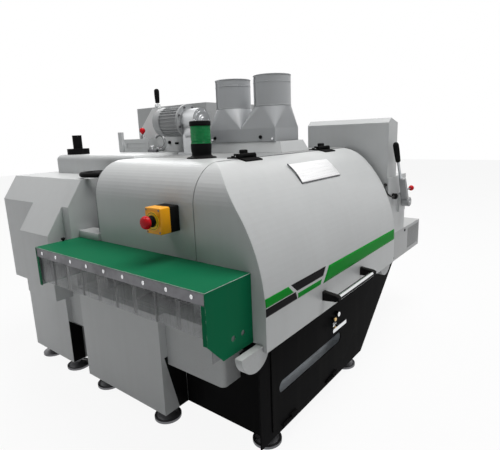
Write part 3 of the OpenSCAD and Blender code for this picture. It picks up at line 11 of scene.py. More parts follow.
import bmesh
import bpy
import numpy as np
from mathutils import Matrix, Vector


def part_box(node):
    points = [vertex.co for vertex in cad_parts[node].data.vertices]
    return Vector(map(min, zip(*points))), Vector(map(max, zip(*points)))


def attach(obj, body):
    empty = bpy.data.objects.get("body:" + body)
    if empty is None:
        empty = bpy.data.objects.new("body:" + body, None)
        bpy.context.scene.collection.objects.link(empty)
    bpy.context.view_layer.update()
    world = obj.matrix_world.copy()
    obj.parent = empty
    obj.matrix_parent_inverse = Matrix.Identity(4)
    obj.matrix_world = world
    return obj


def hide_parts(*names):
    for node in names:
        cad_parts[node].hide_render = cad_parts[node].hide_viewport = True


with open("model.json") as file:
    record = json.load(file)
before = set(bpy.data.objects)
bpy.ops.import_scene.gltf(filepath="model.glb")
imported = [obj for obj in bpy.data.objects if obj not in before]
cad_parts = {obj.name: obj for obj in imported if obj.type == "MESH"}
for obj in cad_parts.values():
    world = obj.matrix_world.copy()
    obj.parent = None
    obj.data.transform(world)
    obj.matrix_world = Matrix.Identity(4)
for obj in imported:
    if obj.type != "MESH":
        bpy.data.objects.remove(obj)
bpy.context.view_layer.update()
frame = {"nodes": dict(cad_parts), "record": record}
nodes = frame["nodes"]
mm = 0.001

# %% [markdown]
# ## The camera
#
# The camera stands at the infeed end, a little above the table. Its three axes came out of the
# machine's parallel edges: how far each world axis points right, down and forward. Blender's camera
# has y up and looks along its own -z, so we turn the signs of the last two.

# %% Camera
eye = (-1.743, -1.505, 1.122)
lens_mm = 30.41


def show(name, data):
    """An object with the given data, linked to the scene."""
    thing = bpy.data.objects.new(name, data)
    bpy.context.scene.collection.objects.link(thing)
    return thing


seen = np.array([(0.6121, -0.1891, 0.7679), (-0.79, -0.1018, 0.6047), (-0.0361, -0.9767, -0.2116)])
u, _, v = np.linalg.svd(seen * (1, -1, -1))
turn = Matrix((u @ v).tolist()).to_4x4()
camera = show("camera", bpy.data.cameras.new("camera"))
camera.data.lens = lens_mm
camera.data.sensor_width = 36
camera.data.clip_end = 60
camera.matrix_world = Matrix.Translation(eye) @ turn
bpy.context.scene.camera = camera
bpy.context.scene.view_settings.view_transform = "Standard"
print("camera at", eye, "with a lens of", lens_mm, "mm")

# %% [markdown]
# ## Light and floor
#
# The machine is shown on white: the world is white for rays from the camera, also by mirror or
# glass, and grey for the light on the paint, which white would wash out. A skylight over the
# operator's side lights the tops most, a small roof window the deck, and a wide window the back.
# The floor mixes white with a little real shading and keeps a soft shadow. Six short functions come
# first, because their steps build every shader.

# %% Light and floor


def add(tree, kind, **sockets):
    """One shader node, with values written on its inputs."""
    node = tree.nodes.new("ShaderNode" + kind)
    for name, value in sockets.items():
        node.inputs[name.replace("_", " ")].default_value = value
    return node


def join(source, target):
    """Links two sockets, each of which knows its tree."""
    target.id_data.links.new(source, target)


def feed(target, value):
    """Gives an input its value: a socket is linked, all else is written."""
    if isinstance(value, bpy.types.NodeSocket):
        join(value, target)
    else:
        target.default_value = value


def maths(operation, a, b, clamp=False):
    """One Math node on a socket and a second value."""
    node = add(a.id_data, "Math")
    node.operation = operation
    node.use_clamp = clamp
    feed(node.inputs[0], a)
    feed(node.inputs[1], b)
    return node.outputs[0]


def mixed(share, first, second, target):
    """Hands the target two shaders, with a share of the second."""
    node = add(target.id_data, "MixShader")
    for slot, value in zip(node.inputs, (share, first, second)):
        feed(slot, value)
    join(node.outputs[0], target)


def white_rays(tree):
    """1 for a ray from the camera, a mirror or glass, and 0 for the rest."""
    path = add(tree, "LightPath").outputs
    either = maths("MAXIMUM", path["Is Camera Ray"], path["Is Glossy Ray"])
    return maths("MAXIMUM", either, path["Is Transmission Ray"])


room_light = 0.165
hall_tint = (0.97, 0.985, 1)
sun_tint = (1, 0.99, 0.98)
world = bpy.data.worlds.new("hall")
world.use_nodes = True
bpy.context.scene.world = world
tree = world.node_tree
tree.nodes.clear()
dim = add(tree, "Background", Color=(*hall_tint, 1), Strength=room_light)
white = add(tree, "Background", Color=(1, 1, 1, 1), Strength=1)
mixed(white_rays(tree), dim.outputs[0], white.outputs[0], add(tree, "OutputWorld").inputs[0])


def lamp(name, place, aim, size, watts, colour):
    """A square lamp at place that faces aim, along its own -z."""
    light = bpy.data.lights.new(name, "AREA")
    light.size = size
    light.energy = watts
    light.color = colour
    thing = show(name, light)
    z = np.subtract(place, aim)
    z /= np.linalg.norm(z)
    x = np.cross((0, 0, 1), z)
    x /= np.linalg.norm(x)
    axes = np.array([x, np.cross(z, x), z]).T
    thing.matrix_world = Matrix.Translation(place) @ Matrix(axes.tolist()).to_4x4()


lamp("skylight", (0.35, -1.35, 5.2), (0, -0.1, 0.6), 3.0, 225, sun_tint)
lamp("roof_window", (-1.5, 0.8, 2.7), (0.1, 0.5, 1.2), 0.9, 10, sun_tint)
lamp("back_window", (3.6, 4.2, 3.4), (0, 0, 0.6), 3.4, 110, hall_tint)

floor_half = 14
own_white = 0.92
floor_mesh = bpy.data.meshes.new("floor")
floor_corners = [(x * floor_half, y * floor_half, 0) for x, y in ((-1, -1), (1, -1), (1, 1), (-1, 1))]
floor_mesh.from_pydata(floor_corners, [], [(0, 1, 2, 3)])
floor = show("floor", floor_mesh)
floor_paint = bpy.data.materials.new("floor")
floor_paint.use_nodes = True
floor_mesh.materials.append(floor_paint)
tree = floor_paint.node_tree
tree.nodes.clear()
shade = add(tree, "BsdfDiffuse", Color=(0.8, 0.8, 0.8, 1))
glow = add(tree, "Emission", Color=(1, 1, 1, 1), Strength=1)
mixed(maths("MULTIPLY", white_rays(tree), own_white), shade.outputs[0], glow.outputs[0],
      add(tree, "OutputMaterial").inputs[0])
print("three lamps and a floor of", 2 * floor_half, "m")

# %% [markdown]
# ## Effects that finishes share
#
# Painted metal is never one flat colour: it has a fine orange-peel skin, clouds a little, gathers
# dust where it faces up, and shows bright metal on knocked edges. Each effect is a node group, made
# once, and reads Object coordinates, so its grain has the same size everywhere.

# %% Groups


def group(name, ins, outs):
    """A node group; of its sockets, Where and Normal are vectors."""
    made = bpy.data.node_groups.new(name, "ShaderNodeTree")
    for side, labels in (("INPUT", ins), ("OUTPUT", outs)):
        for label in labels:
            kind = "Vector" if label in ("Where", "Normal") else "Float"
            made.interface.new_socket(label, in_out=side, socket_type="NodeSocket" + kind)
    return made, made.nodes.new("NodeGroupInput").outputs, made.nodes.new("NodeGroupOutput").inputs


def spread(value, low, high, to_low=0.0, to_high=1.0):
    """Stretches low..high to to_low..to_high and holds the value there."""
    node = add(value.id_data, "MapRange", From_Min=low, From_Max=high, To_Min=to_low, To_Max=to_high)
    join(value, node.inputs["Value"])
    return node.outputs["Result"]


def noise(where, scale, detail=3.0, rough=0.5):
    """Cloudy noise from 0 to 1 at so many blobs a metre."""
    node = add(where.id_data, "TexNoise", Detail=detail, Roughness=rough)
    feed(node.inputs["Scale"], scale)
    join(where, node.inputs["Vector"])
    return node.outputs["Fac"]


def stretched(where, scale):
    """Coordinates with a scale for each axis, which turns blobs into streaks."""
    node = add(where.id_data, "Mapping", Scale=scale)
    join(where, node.inputs["Vector"])
    return node.outputs["Vector"]


def part_of(vector, axis):
    """One of a vector's three numbers."""
    node = add(vector.id_data, "SeparateXYZ")
    join(vector, node.inputs[0])
    return node.outputs[axis]


# Paint skin: clouds, peel and dust
skin, ins, outs = group("paint_skin", ("Where", "Dust", "Peel"), ("Tone", "Dusty", "Gloss", "Height"))
clouds = noise(ins["Where"], 3.2, 4, 0.6)
runs = noise(stretched(ins["Where"], (26, 26, 1.4)), 1, 3, 0.6)
peel = noise(ins["Where"], ins["Peel"], 1)
specks = noise(ins["Where"], 160, 2, 0.7)
facing = add(skin, "NewGeometry").outputs["True Normal"]
up = spread(part_of(facing, "Z"), 0.35, 0.95)
settled = maths("MULTIPLY", up, spread(clouds, 0.35, 0.7, 0.35, 1))
settled = maths("MULTIPLY", settled, spread(specks, 0.3, 0.7, 0.6, 1))
low_down = maths("MULTIPLY", spread(runs, 0.5, 0.75), 0.35)
dusty = maths("MULTIPLY", maths("MAXIMUM", settled, low_down), ins["Dust"], True)
cloudy = spread(clouds, 0.25, 0.75, 0.955, 1.035)
join(maths("ADD", cloudy, spread(runs, 0.3, 0.8, 0, -0.03)), outs["Tone"])
join(dusty, outs["Dusty"])
patchy = spread(clouds, 0.3, 0.7, -0.05, 0.06)
join(maths("ADD", patchy, maths("MULTIPLY", dusty, 0.3)), outs["Gloss"])
join(peel, outs["Height"])

# Edge wear: where the surface turns sharply, broken up by noise
edges, ins, outs = group("edge_wear", ("Where", "Radius", "Amount"), ("Mask", "Normal"))
round_off = add(edges, "Bevel")
round_off.samples = 4
join(ins["Radius"], round_off.inputs["Radius"])
agree = add(edges, "VectorMath")
agree.operation = "DOT_PRODUCT"
join(round_off.outputs[0], agree.inputs[0])
join(add(edges, "NewGeometry").outputs["Normal"], agree.inputs[1])
turning = spread(agree.outputs["Value"], 0.995, 0.88)
chips = spread(noise(ins["Where"], 55, 4, 0.7), 0.46, 0.66)
join(maths("MULTIPLY", maths("MULTIPLY", turning, chips), ins["Amount"], True), outs["Mask"])
join(round_off.outputs[0], outs["Normal"])

# Brushed metal: long streaks along one axis, with a cloudy stain
_, ins, outs = group("brushing", ("Where", "Stain"), ("Tone", "Gloss", "Height"))
streaks = noise(stretched(ins["Where"], (6, 900, 900)), 1, 2, 0.6)
stain = noise(ins["Where"], 14, 5, 0.65)
stained = maths("MULTIPLY", spread(stain, 0.45, 0.75), ins["Stain"])
join(maths("SUBTRACT", spread(streaks, 0.3, 0.7, 0.9, 1.06), stained), outs["Tone"])
dulled = maths("MULTIPLY", stained, 0.5)
join(maths("ADD", spread(streaks, 0.3, 0.7, -0.06, 0.08), dulled), outs["Gloss"])
join(streaks, outs["Height"])

# Cast metal: sand grain under the paint, with a few pits
_, ins, outs = group("sand_cast", ("Where", "Grain"), ("Tone", "Height"))
grain = noise(ins["Where"], ins["Grain"], 3, 0.65)
pits = spread(noise(ins["Where"], 90, 2), 0.28, 0.36)
grainy = spread(grain, 0.2, 0.8, 0.93, 1.05)
join(maths("MULTIPLY", grainy, spread(pits, 0, 1, 0.94, 1)), outs["Tone"])
join(maths("ADD", grain, pits), outs["Height"])
print("groups:", [g.name for g in bpy.data.node_groups])

# %% [markdown]
# ## Finishes
#
# Four recipes cover the machine. Enamel is paint over sheet or casting. Moulded plastic has a faint
# grain, and rubber a duller skin: the two differ only in their numbers. Bare metal is brushed or
# ground. Vinyl lets the dark inside show.

# %% Recipes
finishes = {}


def fill(tree, name, **links):
    """Places a group, feeds its inputs and hands back its outputs."""
    node = add(tree, "Group")
    node.node_tree = bpy.data.node_groups[name]
    for label, value in links.items():
        feed(node.inputs[label], value)
    return node.outputs


def start(name, metal, rough, coat=0, shine=0.5):
    """A finish: a material with a Principled shader and its Object coordinates."""
    finishes[name] = bpy.data.materials.new(name)
    finishes[name].use_nodes = True
    tree = finishes[name].node_tree
    tree.nodes.clear()
    shader = add(tree, "BsdfPrincipled", Metallic=metal, Roughness=rough, Coat_Weight=coat,
                 Specular_IOR_Level=shine)
    join(shader.outputs[0], add(tree, "OutputMaterial").inputs[0])
    return tree, shader, add(tree, "TexCoord").outputs["Object"]


def blend(mask, a, b):
    """Colour a where the mask is 0 and b where it is 1; each is a socket or a colour."""
    node = add(mask.id_data, "Mix")
    node.data_type = "RGBA"
    join(mask, node.inputs[0])
    for slot, value in ((node.inputs[6], a), (node.inputs[7], b)):
        feed(slot, (*value, 1) if isinstance(value, tuple) else value)
    return node.outputs[2]


def toned(tone, colour):
    """A colour made lighter or darker by a tone round 1."""
    node = add(tone.id_data, "VectorMath")
    node.operation = "SCALE"
    feed(node.inputs[0], colour)
    join(tone, node.inputs["Scale"])
    return node.outputs[0]


def bumped(shader, height, strength, depth, under=None):
    """Lets a height bend the shader's normal, on top of another normal if there is one."""
    bump = add(height.id_data, "Bump", Strength=strength, Distance=depth)
    join(height, bump.inputs["Height"])
    if under is not None:
        join(under, bump.inputs["Normal"])
    join(bump.outputs[0], shader.inputs["Normal"])


dust_colour = (0.52, 0.49, 0.43)
bare_steel = (0.42, 0.42, 0.41)


def coated(name, colour, rough, dust, wear, radius, peel, rubbed, coat, shine, matt, strength, depth,
           sand=False):
    """Colour times tone, dust over it, and the rubbed colour on the edges. A matt share goes to a
    plain diffuse shader, so that a dark colour stays dark at a slant."""
    tree, shader, place = start(name, 0, rough, coat, shine)
    skin = fill(tree, "paint_skin", Where=place, Dust=dust, Peel=peel)
    worn = fill(tree, "edge_wear", Where=place, Radius=radius, Amount=wear)
    paint = toned(skin["Tone"], colour)
    height = skin["Height"]
    if sand:
        grain = fill(tree, "sand_cast", Where=place, Grain=240)
        paint = toned(grain["Tone"], paint)
        height = grain["Height"]
    paint = blend(worn["Mask"], blend(skin["Dusty"], paint, dust_colour), rubbed)
    join(paint, shader.inputs["Base Color"])
    join(maths("ADD", skin["Gloss"], rough, True), shader.inputs["Roughness"])
    bumped(shader, height, strength, depth, worn["Normal"])
    if matt > 0:
        plain = add(tree, "BsdfDiffuse")
        join(paint, plain.inputs["Color"])
        target = shader.outputs[0].links[0].to_socket
        mixed(matt, shader.outputs[0], plain.outputs[0], target)


def enamel(name, colour, rough=0.36, dust=0.16, wear=0.45, chipped=bare_steel, sand=False, shine=0.24,
           coat=0.03, matt=0):
    """Paint with a fine peel or a casting's grain, and bare metal on the knocked edges."""
    strength, depth = (0.35, 0.0006) if sand else (0.12, 0.0002)
    coated(name, colour, rough, dust, wear, 0.0025, 420, chipped, coat, shine, matt, strength, depth,
           sand)


def moulded(name, colour, rough=0.4, grain=900, strength=0.12, coat=0.05, dust=0.03, shine=0.3, matt=0):
    """Plastic or rubber: a fine even grain, edges polished by hands, and some dust."""
    polished = tuple(min(1, c * 1.5 + 0.02) for c in colour)
    coated(name, colour, rough, dust, 0.35, 0.0015, grain, polished, coat, shine, matt, strength, 0.0002)


def bare(name, colour, rough=0.32, stain=0.25, sand=False, dust=0.05):
    """Bare metal: streaks along X or sand grain, a stain, and edges rubbed brighter."""
    tree, shader, place = start(name, 1, rough)
    worn = fill(tree, "edge_wear", Where=place, Radius=0.0015, Amount=0.5)
    skin = fill(tree, "paint_skin", Where=place, Dust=dust, Peel=300)
    if sand:
        grain = fill(tree, "sand_cast", Where=place, Grain=300)
        gloss, strength, depth = skin["Gloss"], 0.3, 0.0004
    else:
        grain = fill(tree, "brushing", Where=place, Stain=stain)
        gloss, strength, depth = grain["Gloss"], 0.1, 0.0001
    bright = tuple(min(1, c * 1.35 + 0.08) for c in colour)
    metal = blend(skin["Dusty"], toned(grain["Tone"], colour), dust_colour)
    join(blend(worn["Mask"], metal, bright), shader.inputs["Base Color"])
    join(maths("ADD", gloss, rough, True), shader.inputs["Roughness"])
    bumped(shader, grain["Height"], strength, depth, worn["Normal"])


def vinyl(name, colour, edge_shade_colour):
    """Clear sheet: nearly open in its middle, milkier low down, and at its cut edges milkier and darker with
    painted shade.
    """
    tree, shader, place = start(name, 0, 0.16, 0.3)
    uv = add(tree, "TexCoord").outputs["UV"]
    off_middle = maths("ABSOLUTE", maths("SUBTRACT", part_of(uv, "X"), 0.5), 0)
    # A dark line along each cut edge is painted shade, for the light that a clear edge bends away.
    cut_edge_shade = spread(off_middle, 0.475, 0.493)
    scratch = noise(stretched(place, (90, 90, 7)), 1, 4, 0.7)
    smear = noise(place, 11, 4, 0.6)
    cover = maths("ADD", spread(part_of(uv, "Y"), 0.15, 0.95, 0.3, 0.12),
                  spread(scratch, 0.5, 0.85, 0, 0.22))
    cover = maths("ADD", cover, spread(smear, 0.45, 0.8, 0, 0.12))
    cover = maths("MAXIMUM", cover, maths("MULTIPLY", cut_edge_shade, 0.8), True)
    join(cover, shader.inputs["Alpha"])
    sheet = toned(spread(scratch, 0.3, 0.7, 0.9, 1.1), colour)
    join(blend(cut_edge_shade, sheet, edge_shade_colour), shader.inputs["Base Color"])
    join(spread(scratch, 0.3, 0.8, 0.12, 0.4), shader.inputs["Roughness"])
    bumped(shader, scratch, 0.15, 0.0004)


print("recipes for paint, plastic, metal and vinyl")

# %% [markdown]
# The grey enamel is slightly cool, the castings are darker and sandier, and the black base is a
# satin that shows scuffs. The stand on the deck, the cabinet and the outfeed box wear the hood's
# grey: a paler copy on the stand is painted light, and a darker copy on the cabinet, its door and
# the outfeed box is painted shade.

# %% Finishes of the machine
film_skin = (0.34, 300, 0.03, 0, 0.01)
enamel("black_paint", (0.0085, 0.0085, 0.009), 0.34, 0.02, 0.2, (0.12, 0.12, 0.12), shine=0.03, coat=0,
       matt=0.75)
enamel("cast_paint", (0.5, 0.515, 0.52), 0.42, 0.2, 0.5, sand=True)
enamel("grey_paint", (0.56, 0.575, 0.58), 0.34, 0.12, 0.35)
enamel("dark_grey_paint", (0.22, 0.23, 0.24), 0.4, 0.25, 0.5)
# The next two are the grey enamel darkened as painted shade and lightened as painted light.
enamel("back_paint", (0.43, 0.44, 0.445), 0.36, 0.14, 0.4)
enamel("pale_paint", (0.74, 0.755, 0.76), 0.34, 0.1, 0.35)
enamel("duct_paint", (0.47, 0.485, 0.5), 0.36, 0.14, 0.4)
# The next finish is a painted highlight, for the light line along the guard's folded edge.
enamel("painted_edge_highlight", (0.5, 0.56, 0.53), 0.4, 0.02, 0.2)
enamel("green_paint", (0.006, 0.15, 0.066), 0.32, 0.02, 0.6, (0.6, 0.7, 0.65), shine=0.04, coat=0,
       matt=0.55)
enamel("motor_aluminium", (0.4, 0.41, 0.42), 0.42, 0.2, 0.5, sand=True)
enamel("motor_paint", (0.06, 0.11, 0.15), 0.4, 0.25, 0.4, sand=True)
bare("dark_steel", (0.16, 0.16, 0.17), 0.42, 0.3)
bare("zinc_steel", (0.5, 0.52, 0.54), 0.36, 0.2)
bare("bright_steel", (0.72, 0.73, 0.74), 0.2, 0.08)
bare("ground_steel", (0.5, 0.51, 0.52), 0.26, 0.2)
bare("chain_steel", (0.17, 0.17, 0.18), 0.4, 0.3)
bare("cast_iron", (0.2, 0.2, 0.21), 0.5, sand=True)
bare("cast_aluminium", (0.48, 0.49, 0.5), 0.46, sand=True)
bare("plate_aluminium", (0.93, 0.93, 0.935), 0.3, 0.05, dust=0)
bare("chrome", (0.78, 0.79, 0.8), 0.1, 0.03)
bare("brass", (0.72, 0.5, 0.22), 0.3, 0.2)
moulded("black_plastic", (0.009, 0.009, 0.0095), 0.36, coat=0, dust=0.02, shine=0.1, matt=0.7)
moulded("red_plastic", (0.56, 0.005, 0.012), 0.22, coat=0.1, strength=0.04, dust=0.01, matt=0.6)
moulded("yellow_plastic", (1, 0.43, 0.008), 0.34, coat=0.05, strength=0.05, shine=0.25)
moulded("pale_yellow", (1, 0.66, 0.02), 0.34, coat=0.05, strength=0.05, shine=0.25)
moulded("green_lens", (0.003, 0.26, 0.07), 0.12, coat=0.2, strength=0.02, dust=0.01, matt=0.6)
moulded("black_rubber", (0.012, 0.012, 0.012), 0.6, 700, 0.2, 0)
moulded("band_green", (0.003, 0.26, 0.022), *film_skin, shine=0.05, matt=0.4)
moulded("band_black", (0.01, 0.009, 0.01), *film_skin, shine=0.05, matt=0.5)
vinyl("clear_plastic", (0.3, 0.31, 0.32), (0.16, 0.165, 0.17))
finish_of = {part["node"]: part["material_slot"] for part in frame["record"]["subparts"]}
# Painted light and shade: the tower gets the paler grey; the cabinet, its door and the outfeed box get the
# darker one.
finish_of["tower"] = "pale_paint"
finish_of.update(dict.fromkeys(("electrical_cabinet", "cabinet_door", "outfeed_box"), "back_paint"))
for name, part in nodes.items():
    part.data.materials.clear()
    part.data.materials.append(finishes[finish_of[name]])
print(len(finishes), "finishes on", len(nodes), "parts")

# %% [markdown]
# ## Surfaces as arrays
#
# The added pieces could be modelled by hand, vertex by vertex. We work them out instead: a piece is
# a grid of points, and a grid is a formula in millimetres. A lathe turns a profile about an axis, a
# slab carries an outline along one, a tube carries a ring along a path, and a sheet is any function
# of two numbers.

# %% Grids, lathes, slabs and tubes
merge = 1e-6
other_axes = ((1, 2), (0, 2), (0, 1))


def faces_of(rows, cols, ring):
    """Four-cornered faces: a point, the next in its row, and the two below them."""
    r, c = np.meshgrid(np.arange(rows - 1), np.arange(cols if ring else cols - 1), indexing="ij")
    n = (c + 1) % cols
    here, below = r * cols, (r + 1) * cols
    return np.stack([here + c, here + n, below + n, below + c], -1).reshape(-1, 4)


def piece(name, grids, finish="black_plastic", body="root", ring=True, sharp=38, wall=0.0):
    """One object from grids of points in mm; points that meet are merged, faces turn outwards."""
    points, faces, first = [], [], 0
    for grid in grids:
        rows, cols = grid.shape[:2]
        points.append(grid.reshape(-1, 3) * mm)
        faces.append(faces_of(rows, cols, ring) + first)
        first += rows * cols
    mesh = bpy.data.meshes.new(name)
    mesh.from_pydata(np.concatenate(points).tolist(), [], np.concatenate(faces).tolist())
    made = bmesh.new()
    made.from_mesh(mesh)
    bmesh.ops.remove_doubles(made, verts=made.verts, dist=merge)
    bmesh.ops.dissolve_degenerate(made, edges=made.edges, dist=merge)
    bmesh.ops.recalc_face_normals(made, faces=made.faces)
    made.to_mesh(mesh)
    made.free()
    mesh.shade_smooth()
    mesh.set_sharp_from_angle(angle=np.radians(sharp))
    mesh.materials.append(finishes[finish])
    thing = show(name, mesh)
    if wall:
        skin = thing.modifiers.new("wall", "SOLIDIFY")
        skin.thickness = wall * mm
        skin.offset = 0
    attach(thing, body)
    return thing


def placed(across_a, across_b, level, along):
    """Points from two coordinates across an axis and one along it."""
    made = np.zeros((*np.shape(across_a), 3))
    a, b = other_axes[along]
    made[..., a], made[..., b], made[..., along] = across_a, across_b, level
    return made


def circle(n):
    """n angles round a full turn."""
    return np.linspace(0, 2 * np.pi, n, endpoint=False)


def lathe(profile, centre, along=2, turns=40):
    """Radius and height pairs turned about an axis, by cosine and sine."""
    radius, height = np.array(profile, float).T[..., None]
    angle = circle(turns)
    return placed(radius * np.cos(angle), radius * np.sin(angle), height, along) + centre


def slab(outline, low, high, along, soft=1.0):
    """An outline carried from low to high along an axis, and drawn in by soft at both ends."""
    outline = np.array(outline, float)
    middle = outline.mean(0)
    reach = np.linalg.norm(outline - middle, axis=1, keepdims=True)
    inner = middle + (outline - middle) * (1 - soft / reach)
    shut = middle + 0 * outline
    rings = np.array([shut, inner, outline, outline, inner, shut])
    levels = np.array([low, low, low + soft, high - soft, high, high])
    return placed(rings[..., 0], rings[..., 1], levels[:, None], along)


def rounded(low, high, r, n=5):
    """A rectangle with round corners: a circle whose quarters are pushed apart."""
    low, high = np.array(low, float), np.array(high, float)
    angle = circle(4 * n) + np.pi / (4 * n)
    ring = np.stack([np.cos(angle), np.sin(angle)], -1)
    return (low + high) / 2 + ring * r + np.sign(ring) * ((high - low) / 2 - r)


def block(low, high, along=0, r=3.0, soft=1.0):
    """A box between two corners with round edges along one axis and soft rims."""
    a, b = other_axes[along]
    return slab(rounded((low[a], low[b]), (high[a], high[b]), r), low[along], high[along], along, soft)


def tube(path, radius, sides=14, level=(0, 0, 1)):
    """A ring carried along a path, on two arms square to it and to each other."""
    path = np.array(path, float)
    radius = np.broadcast_to(np.array(radius, float), (len(path),))
    ahead = np.gradient(path, axis=0)
    ahead /= np.linalg.norm(ahead, axis=1, keepdims=True)
    one = np.cross(ahead, level)
    one /= np.linalg.norm(one, axis=1, keepdims=True)
    two = np.cross(ahead, one)
    angle = circle(sides)[None, :, None]
    arms = np.cos(angle) * one[:, None] + np.sin(angle) * two[:, None]
    rings = path[:, None] + radius[:, None, None] * arms
    ends = [np.broadcast_to(path[i], (1, sides, 3)) for i in (0, -1)]
    return np.concatenate([ends[0], rings, ends[1]])


def straight(start, end, n=2):
    """n points on the line from start to end."""
    step = np.linspace(0, 1, n)[:, None]
    return np.array(start, float) * (1 - step) + np.array(end, float) * step


def span(node):
    """Lowest and highest corner of a CAD node in mm."""
    low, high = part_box(node)
    return np.array(low) / mm, np.array(high) / mm


def bolt(place, along, out, r=6.0, height=4.0):
    """A socket screw's head: a low drum with a soft rim and a hollow."""
    profile = [(0, height * 0.35), (r * 0.42, height * 0.35), (r * 0.5, height), (r * 0.85, height),
               (r, height * 0.75), (r, 0), (0, 0)]
    return lathe([(a, out * b) for a, b in profile], place, along, 16)


# %% [markdown]
# ## Switch and its lead
#
# The switch is a knurled black knob: a lathe whose radius also waves with the angle. A thin lead
# leaves it through a boot and runs to the column's corner. It is a cord: four control points give
# its curve, and a tube follows it.

# %% Switch, boot and lead


def knurl(grid, centre, count, depth, along):
    """Waves a lathe's radius: it grows by depth times the cosine of count times the angle."""
    a, b = other_axes[along]
    x, y = grid[..., a] - centre[a], grid[..., b] - centre[b]
    grow = 1 + depth * np.cos(count * np.arctan2(y, x))
    return placed(centre[a] + x * grow, centre[b] + y * grow, grid[..., along], along)


switch_c = np.array([477.0, -730, 769])
knob = lathe([(0, 0), (15.2, 0), (15.2, -6), (13.6, -7), (13.6, -8), (15, -9), (15, -20), (13.5, -22),
              (8, -22), (8, -25.5), (7, -26), (0, -26)], switch_c, 1, 72)
switch = piece("switch_knob", [knurl(knob, switch_c, 24, 0.018, 1)], sharp=30)
cable_start = switch_c - (20, 11, 0)
boot_r = np.linspace(6.4, 4.7, 8) + 0.35 * (np.arange(8) % 2)
boot_line = straight(cable_start + (8, 0, 0), cable_start - (14, 0, 0), len(boot_r))
piece("switch_boot", [tube(boot_line, boot_r, 20)], "black_rubber")
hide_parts("hood_switch")
cable_r = 4
cable_end = np.array([407.6, -715, 836])
control = np.array([cable_start, cable_start - (62, 0, 0), cable_end - (60, 0, 0), cable_end])
t = np.linspace(0, 1, 21)[:, None]
cable = ((1 - t) ** 3 * control[0] + 3 * t * (1 - t) ** 2 * control[1] + 3 * t ** 2 * (1 - t) * control[2]
         + t ** 3 * control[3])
lead = piece("switch_lead", [tube(cable, cable_r, 14, (0, 1, 0))], "black_rubber")
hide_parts("switch_cable")
gland = [(4.2, 0), (8.5, 0), (8.5, -4), (7, -5.5), (4.2, -5.5)]
piece("lead_gland", [lathe(gland, cable_end + (0.4, 0, 0), 0, 24)])

# %% [markdown]
# ## Bands on the hood
#
# Two rows of coloured film run along the hood, cut on the slant and broken once. Film has an edge
# that catches light, so each band is a thin sheet. Its outline is four corners on the hood's front,
# and its depth is the hood's own: flat below the bend and an arc above it.

# %% Film bands
hood_face, bend_z, bend_r = -782, 572, 560
film = 0.35


def hood_front(z):
    """Y of the hood's outside at a height: above the bend, the arc's middle less its half chord."""
    rise = np.clip(z - bend_z, 0, None)
    return hood_face + bend_r - np.sqrt(bend_r ** 2 - rise ** 2)


def band(corners, along=40, across=8):
    """Four corners, from the left top round, joined by straight lines both ways."""
    a, b, c, d = np.array(corners, float)
    u, v = np.meshgrid(np.linspace(0, 1, along), np.linspace(0, 1, across))
    u, v = u[..., None], v[..., None]
    flat = (a * (1 - u) + b * u) * (1 - v) + (d * (1 - u) + c * u) * v
    x, z = flat[..., 0], flat[..., 1]
    return np.stack([x, hood_front(z) - film / 2, z], -1)


left, right, top, foot = -761.5, 371.5, 621, 561.5
bands = {
    "green_left": [(left, top), (-629, top), (-599, 592), (left, 592)],
    "black_left": [(left, 589), (-586, 589), (-577, foot), (left, foot)],
    "black_middle": [(-612, top), (-368, top), (-392, 590), (-577, 590)],
    "green_middle": [(-572, 580), (-402, 580), (-412, foot), (-572, foot)],
    "green_right": [(-343, 617), (right, 617), (right, 563.5), (-392, 559)],
}
for name, corners in bands.items():
    colour = name.split("_")[0]
    piece("band_" + name, [band(corners)], "band_" + colour, "hood", ring=False, wall=film)
print(len(bands), "bands between Z", foot, "and", top, "mm")

# %% [markdown]
# ## Hood handle
#
# A chromed tube lies between two black brackets. Behind and under it a black half ring is painted
# reflection: the dark that the chrome's lower half mirrors. A tube and a half ring give just that,
# and a slab gives the brackets.

# %% Handle of the hood
low, high = span("hood_handle")
bar_r, bracket_l = 8.5, 22
bar_y = low[1] + bar_r + 3.5
bar_z = (low[2] + high[2]) / 2
# A black half ring round the tube's back and underside: painted reflection of the dark below.
half = np.linspace(-0.62, 0.62, 15) * np.pi - np.pi / 2 + 0.35
arc = np.stack([np.cos(half), np.sin(half)], -1)
reflection_shell = np.concatenate([arc * (bar_r + 2.6), arc[::-1] * (bar_r + 0.3)]) + (bar_y, bar_z)
reflection_ends = np.array([[low[0] + bracket_l], [high[0] - bracket_l]])
piece("handle_reflection_shell", [placed(*[np.stack([c, c]) for c in reflection_shell.T], reflection_ends, 0)], body="hood")
bar = straight((low[0] + 6, bar_y, bar_z), (high[0] - 6, bar_y, bar_z), 3)
handle = piece("handle_tube", [tube(bar, bar_r, 24)], "chrome", "hood")
front_y = bar_y - bar_r - 2.5
foot = [(hood_face - 0.2, bar_z - 18), (hood_face - 0.2, bar_z + 18), (bar_y, bar_z + bar_r + 4),
        (front_y, bar_z + bar_r - 2), (front_y, bar_z - bar_r + 1), (bar_y, bar_z - bar_r - 4)]
piece("handle_brackets", [slab(foot, x, x + bracket_l, 0, 1.4) for x in (low[0], high[0] - bracket_l)],
      body="hood")
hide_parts("hood_handle")
print("handle", round(high[0] - low[0]), "mm long")
